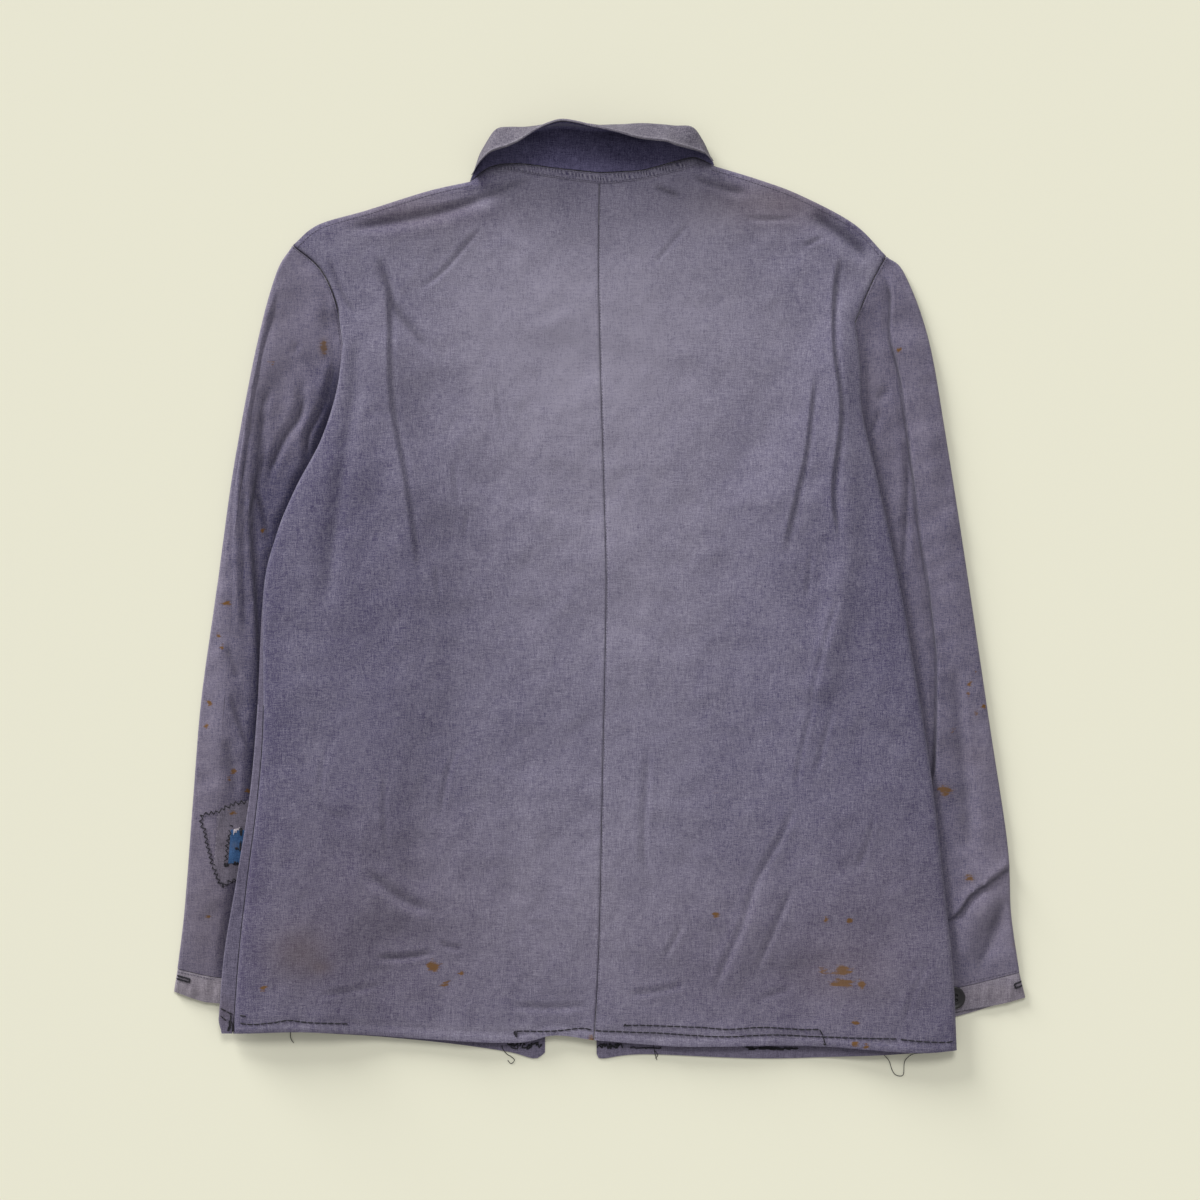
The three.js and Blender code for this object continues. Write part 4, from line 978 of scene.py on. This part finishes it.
# Painted shade on the stand: a dark band just under the roll of the leaf, a darker spot under the leaf's right half,
# lighter towards the neck seam.
shade_under_leaf = np.exp(-(((np.arange(inside) - 13) / 4) ** 2)) * (1 + 0.5 * np.sin(neck[:, :1] / 22))
dress(collar_under, DARK_COTTON, [(0, 350, 90, 7, 0.2), (30, 362, 40, 9, -0.15)], level=0.26,
      painted_shading=np.tile(-0.25 * shade_under_leaf.ravel(), 2), painted_deep_shade=np.tile(0.35 * shade_under_leaf.ravel(), 2))
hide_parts("collar_under")
for side, line, inner, away in (
    ("left", FRONT_NECK_LEFT, [(-25, 297), (-40, 308), (-62, 334), (-84, 374)], GAP),
    ("right", FRONT_NECK_RIGHT, [(-16, 299), (16, 310), (48, 338), (76, 376)], -GAP),
):
    outer = spline(line, 40) + (away, GAP)
    share = np.linspace(0, 1, 16)[None, :, None]
    xy = (1 - share) * outer[:, None] + share * spline(inner, 40)[:, None]
    piece = shell(f"collar_front_{side}_cloth", lay(xy, 0.0), lay(xy, CLOTH))
    dress(piece, LEAF_COTTON, [], level=0.45)
    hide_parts(f"collar_front_{side}")

# Sewing: dark mending thread, run by hand along the hem and knotted in scribbles, zigzags round the patches,
# worked buttonholes, the buttons' own thread, and loose ends that hang out at the hem.
# It is twisted cotton, 0.5 to 1 mm thick, and stands a little proud of the cloth.
HEM_THREAD = 0.48
PATCH_THREAD = 0.38
FRAY_THREAD = 0.25
BUTTONHOLE_THREAD = 0.42
BUTTON_THREAD = 0.4
LOOSE_THREAD = 0.27
THREAD_SIDES = 6
TWIST = 900  # 1.1 mm, coarser than the real twist so that it shows


# Twisted cotton thread: dry and matt, with the twist as a fine light and dark mottle.
def thread(name, dark, light, dull):
    material, tree, shader = plain_finish(name)
    place = node(tree, "TexCoord").outputs["Object"]
    twist = node(tree, "TexNoise", {"Vector": place, "Scale": TWIST, "Detail": 2})
    tint = node(tree, "Mix", {0: twist, 6: linear(dark), 7: linear(light)}, data_type="RGBA")
    tree.links.new(tint.outputs[2], shader.inputs["Base Color"])
    shader.inputs["Roughness"].default_value = dull
    return material


def tubes(name, lines, radius):
    points, quads = [], []
    for line in lines:
        line = np.asarray(line, float)
        way = np.gradient(line, axis=0)
        way /= np.linalg.norm(way, axis=1)[:, None]
        flat = np.cross(way, (0, 0, 1))
        flat /= np.maximum(np.linalg.norm(flat, axis=1), 1e-6)[:, None]
        up = np.cross(flat, way)
        turn = np.arange(THREAD_SIDES) / THREAD_SIDES * math.tau
        taper = np.ones(len(line))
        taper[[0, -1]] = 0.55
        ring = line[:, None] + radius * taper[:, None, None] * (
            np.cos(turn)[None, :, None] * flat[:, None] + np.sin(turn)[None, :, None] * up[:, None])
        first = sum(len(p) for p in points)
        index = first + np.arange(ring.shape[0] * THREAD_SIDES).reshape(-1, THREAD_SIDES)
        points.append(ring.reshape(-1, 3))
        quads.append(ring_quads(index))
        for row in (index[0], index[-1][::-1]):
            caps = [(row[k], row[k + 1], row[-k - 2], row[-k - 1]) for k in range(THREAD_SIDES // 2 - 1)]
            quads.append(np.array(caps))
    return body(name, np.concatenate(points), np.concatenate(quads))


def stitches(line, pitch, share, trees, proud=0.35):
    line = spline(line, 400)
    count = max(2, int(steps(line).sum() / pitch))
    made = []
    ends = resample(line, count * 20)
    for k in range(count):
        xy = ends[k * 20: k * 20 + max(3, int(20 * share)): 3]
        high = height_on(trees, xy)
        if high.min() > 0 and np.ptp(high) < 2:
            made.append(lay(xy, high + proud * np.sin(math.pi * np.linspace(0.12, 0.88, len(xy))) - 0.1))
    return made


def zigzag(line, pitch, reach, trees, proud=0.6):
    line = spline(line, 600)
    count = int(steps(line).sum() / pitch * 2)
    ends = resample(line, count)
    way = np.gradient(ends, axis=0)
    way /= np.hypot(*way.T)[:, None]
    side = np.where(np.arange(count + 1) % 2, 1, -1)[:, None] * np.stack([-way[:, 1], way[:, 0]], 1)
    at = np.arange(0, count + 0.01, 0.25)
    ends = ends + reach * side + 0.2 * reach * np.random.default_rng(count).normal(size=ends.shape)
    xy = np.stack([np.interp(at, np.arange(count + 1), ends[:, k]) for k in (0, 1)], 1)
    return [lay(xy, height_on(trees, xy) + proud)]


HEM_RUNS = [
    [(-69, -371), (-69, -367.5), (-46, -367.5), (-31, -366.7), (-14, -365), (-6, -366.5)],
    [(-3, -366.7), (7.5, -367.5), (50, -369), (81, -371), (107, -372), (145, -370.4), (187, -372), (247, -373)],
    [(250, -373.3), (267, -375), (287, -375.8), (294, -375)],
    [(22, -362.5), (39, -362.5), (60, -363.3), (85, -364.2), (107, -365.8), (136, -364.2), (167, -365.8),
     (183, -365.8)],
    [(183.3, -366), (185.8, -371), (187.5, -377.5)],
    [(-303, -359.3), (-288, -360.8), (-269, -359.2), (-257, -357.5), (-242, -359.2), (-208, -360.8)],
    [(-314, -348), (-310, -350), (-305, -352.5), (-299, -353.3), (-292, -354.2)],
    [(-314, -354.2), (-309.2, -358.3)],
]


def scribble(box, turns, seed, trees, proud=0.5):
    rng = np.random.default_rng(seed)
    low, high = np.array(box, float).reshape(2, 2)
    drift = np.linspace(0, 1, turns)[:, None]
    spots = low + (high - low) * np.stack([drift[:, 0] * 0.8 + 0.2 * rng.random(turns), rng.random(turns)], 1)
    xy = spline([tuple(spot) for spot in spots], turns * 6)
    high = height_on(trees, xy)
    return [lay(xy, np.where(high > 0, high, high.max()) + proud)]


def thread_piece(name, lines, radius, material):
    piece = tubes(name, lines, radius)
    piece.data.materials.append(material)


dark_thread = thread("dark_cotton_thread", "#0e0d12", "#26232c", 0.85)
body_top = surface(backs["left"], backs["right"], fronts["left"], fronts["right"])
lines = []
for run_line in HEM_RUNS:
    lines += stitches(run_line, 5.6, 0.97, body_top, 0.6)
for box, turns, seed in (
    ((-309, -369, -302, -354), 16, 1), ((-78, -383, -46, -377.5), 40, 2), ((-2, -383.5, 20, -378), 34, 3),
    ((118, -384, 170, -381.5), 44, 4), ((20, -383, 56, -381.5), 12, 5), ((-71, -372, -68, -367), 6, 6),
    ((20, -363.5, 24, -361.5), 6, 7), ((186, -379, 189, -376), 6, 8),
):
    lines += scribble(box, turns, seed, body_top)
thread_piece("hem_thread", lines, HEM_THREAD, dark_thread)
sleeve_top = surface(sleeves["left", "under"], sleeves["left", "top"], patch, blue_patch)
lines = zigzag([(-293, -177), (-305, -179), (-317.5, -185), (-330.5, -189), (-327, -206), (-322, -226),
                (-315, -244), (-312.5, -247), (-306.7, -243), (-301, -242)], 4.4, 1.6, sleeve_top)
lines += zigzag([(-306.5, -201), (-308, -208), (-308.7, -214), (-310, -226)], 4.2, 1.4, sleeve_top)
for box, turns, seed in (
    ((-312, -231, -307.5, -227.5), 26, 9), ((-302.4, -217.2, -299.6, -214.4), 16, 10),
    ((-305, -230, -297, -226.5), 22, 11), ((-298.6, -206, -296.4, -198.5), 16, 12),
    ((-299, -219, -297.5, -209), 12, 13), ((-307, -198, -304, -196), 5, 14),
):
    lines += scribble(box, turns, seed, sleeve_top)
thread_piece("patch_thread", lines, PATCH_THREAD, dark_thread)
# Frayed raw cotton at the blue patch's corner: pale, dry and quite matt.
pale_thread, _, shader = plain_finish("pale_frayed_cotton")
shader.inputs["Base Color"].default_value = linear("#b3abb0")
shader.inputs["Roughness"].default_value = 0.95
lines = scribble((-304, -204.5, -301, -199), 14, 15, sleeve_top)
lines += scribble((-301.5, -201, -298.5, -198.5), 8, 16, sleeve_top)
thread_piece("patch_fray", lines, FRAY_THREAD, pale_thread)
cuff_top = surface(cuffs["left"], cuffs["right"])
lines = []
for bar in (
    [(-351, -321.5), (-341, -324.5)], [(-351.5, -324), (-341.5, -327)], [(-340.5, -324), (-341, -327.5)],
    [(346, -328.5), (351.5, -326.5)], [(346.5, -332), (352, -330)], [(345.8, -328.3), (346.3, -332.2)],
):
    lines += zigzag(bar, 0.9, 0.5, cuff_top)
thread_piece("buttonhole_thread", lines, BUTTONHOLE_THREAD, dark_thread)
lines = []
for x, y in BUTTONS.values():
    for way in (-1, 1):
        ends = np.array([(x - 2, y - 2 * way), (x, y), (x + 2, y + 2 * way)])
        over = 2.2 + np.linspace(-1, 1, 9) ** 2 * -0.7 + 0.3 * way
        lines.append(lay(resample(ends, 8), CUFF_TOP + GAP + over))
thread_piece("button_thread", lines, BUTTON_THREAD, dark_thread)
LOOSE = [
    [(-256.7, -367), (-257.1, -372.5), (-256.2, -375.8), (-254.2, -378.3)],
    [(-80.8, -380), (-80, -383.3), (-76.7, -387.5), (-73.3, -389.6), (-70.4, -392.5), (-73.3, -395.4),
     (-76.2, -392.5)],
    [(45.4, -380), (46.7, -387.5), (48.3, -392.5)], [(46, -384), (49, -388), (47, -391)],
    [(232.5, -383.3), (237.5, -388.3), (241.7, -393.3), (244.2, -400.8), (247.5, -405), (253.3, -405),
     (254.2, -395.8), (255.8, -391.7), (261.7, -387.5), (270.8, -386.7)],
]
lines = []
for end in LOOSE:
    xy = spline(end, 40)
    z = height_on(body_top, xy)
    lines.append(lay(xy, np.convolve(np.pad(z, 3, mode="edge"), np.ones(7) / 7, mode="valid") + 0.5))
thread_piece("loose_threads", lines, LOOSE_THREAD, dark_thread)

# Seam stitching: fine machine thread of violet cotton, in a row of short stitches beside the centre-back,
# armhole, shoulder, cuff and tape seams. It lies nearly flush with the cloth and is a shade darker.
SEAM_THREAD = 0.2
violet_thread = thread("violet_cotton_thread", "#3b3746", "#5d5869", 0.9)
all_top = surface(*backs.values(), *fronts.values(), *sleeves.values(), *cuffs.values(), neck_tape)
lines = []
for seam, away, down in (
    (CENTRE_BACK, 0.9, -2), (ARM_LEFT, -2, 0), (ARM_RIGHT, 2, 0), (SHOULDER_LEFT, 2, -3.5),
    (SHOULDER_RIGHT, -2, -3.5), ([(350, -319), (305, -330)], 0, 2), ([(-351, -316), (-319, -323)], 0, -2.5),
    (TAPE_SIDES[0], 0, -1.2), (TAPE_SIDES[1], 0, 1.2),
):
    moved = [(x + away, y + down) for x, y in seam]
    lines += stitches(moved, 2.6, 0.8, all_top, 0.3)
thread_piece("seam_thread", lines, SEAM_THREAD, violet_thread)

# Floor: a plain sheet of cream paper under the jacket, large enough to fill every view.
# It is not part of the jacket, and is only staged.
FLOOR = 40
corners = [(-FLOOR, -FLOOR, 0), (FLOOR, -FLOOR, 0), (FLOOR, FLOOR, 0), (-FLOOR, FLOOR, 0)]
floor_mesh = bpy.data.meshes.new("floor")
floor_mesh.from_pydata(corners, [], [(0, 1, 2, 3)])
floor = bpy.data.objects.new("floor", floor_mesh)
bpy.context.scene.collection.objects.link(floor)
# Cream paper: even, matt and without grain at this distance, so it shows only the soft shadow.
paper, _, shader = plain_finish("cream_paper")
shader.inputs["Base Color"].default_value = linear("#e7e5d0")
shader.inputs["Roughness"].default_value = 0.9
floor_mesh.materials.append(paper)

# Light: a soft lamp from beyond the collar, a weak low one that throws the shadow to the lower right,
# and an even pale surround. The camera looks straight down on the middle.
world = bpy.data.worlds.new("surround")
bpy.context.scene.world = world
world.use_nodes = True
world.node_tree.nodes["Background"].inputs[0].default_value = (1, 1, 1, 1)
world.node_tree.nodes["Background"].inputs[1].default_value = 0.45
LAMP_SPREAD = 22
for name, aim, share in (("key", (-0.1, -0.85, -1.05), 0.26), ("low", (0.62, -0.85, -0.24), 0.29)):
    lamp = bpy.data.lights.new(name, "SUN")
    way = Vector(aim).normalized()
    lamp.energy = share * math.pi / -way.z
    lamp.angle = math.radians(LAMP_SPREAD)
    sun = bpy.data.objects.new(name, lamp)
    sun.rotation_euler = way.to_track_quat("-Z", "Y").to_euler()
    bpy.context.scene.collection.objects.link(sun)
lens = bpy.data.cameras.new("camera")
lens.sensor_width = 36
lens.lens = 90
camera = bpy.data.objects.new("camera", lens)
camera.location = (0.0008, -0.0092, 2.5)
bpy.context.scene.collection.objects.link(camera)
bpy.context.scene.camera = camera
bpy.context.scene.view_settings.view_transform = "Standard"
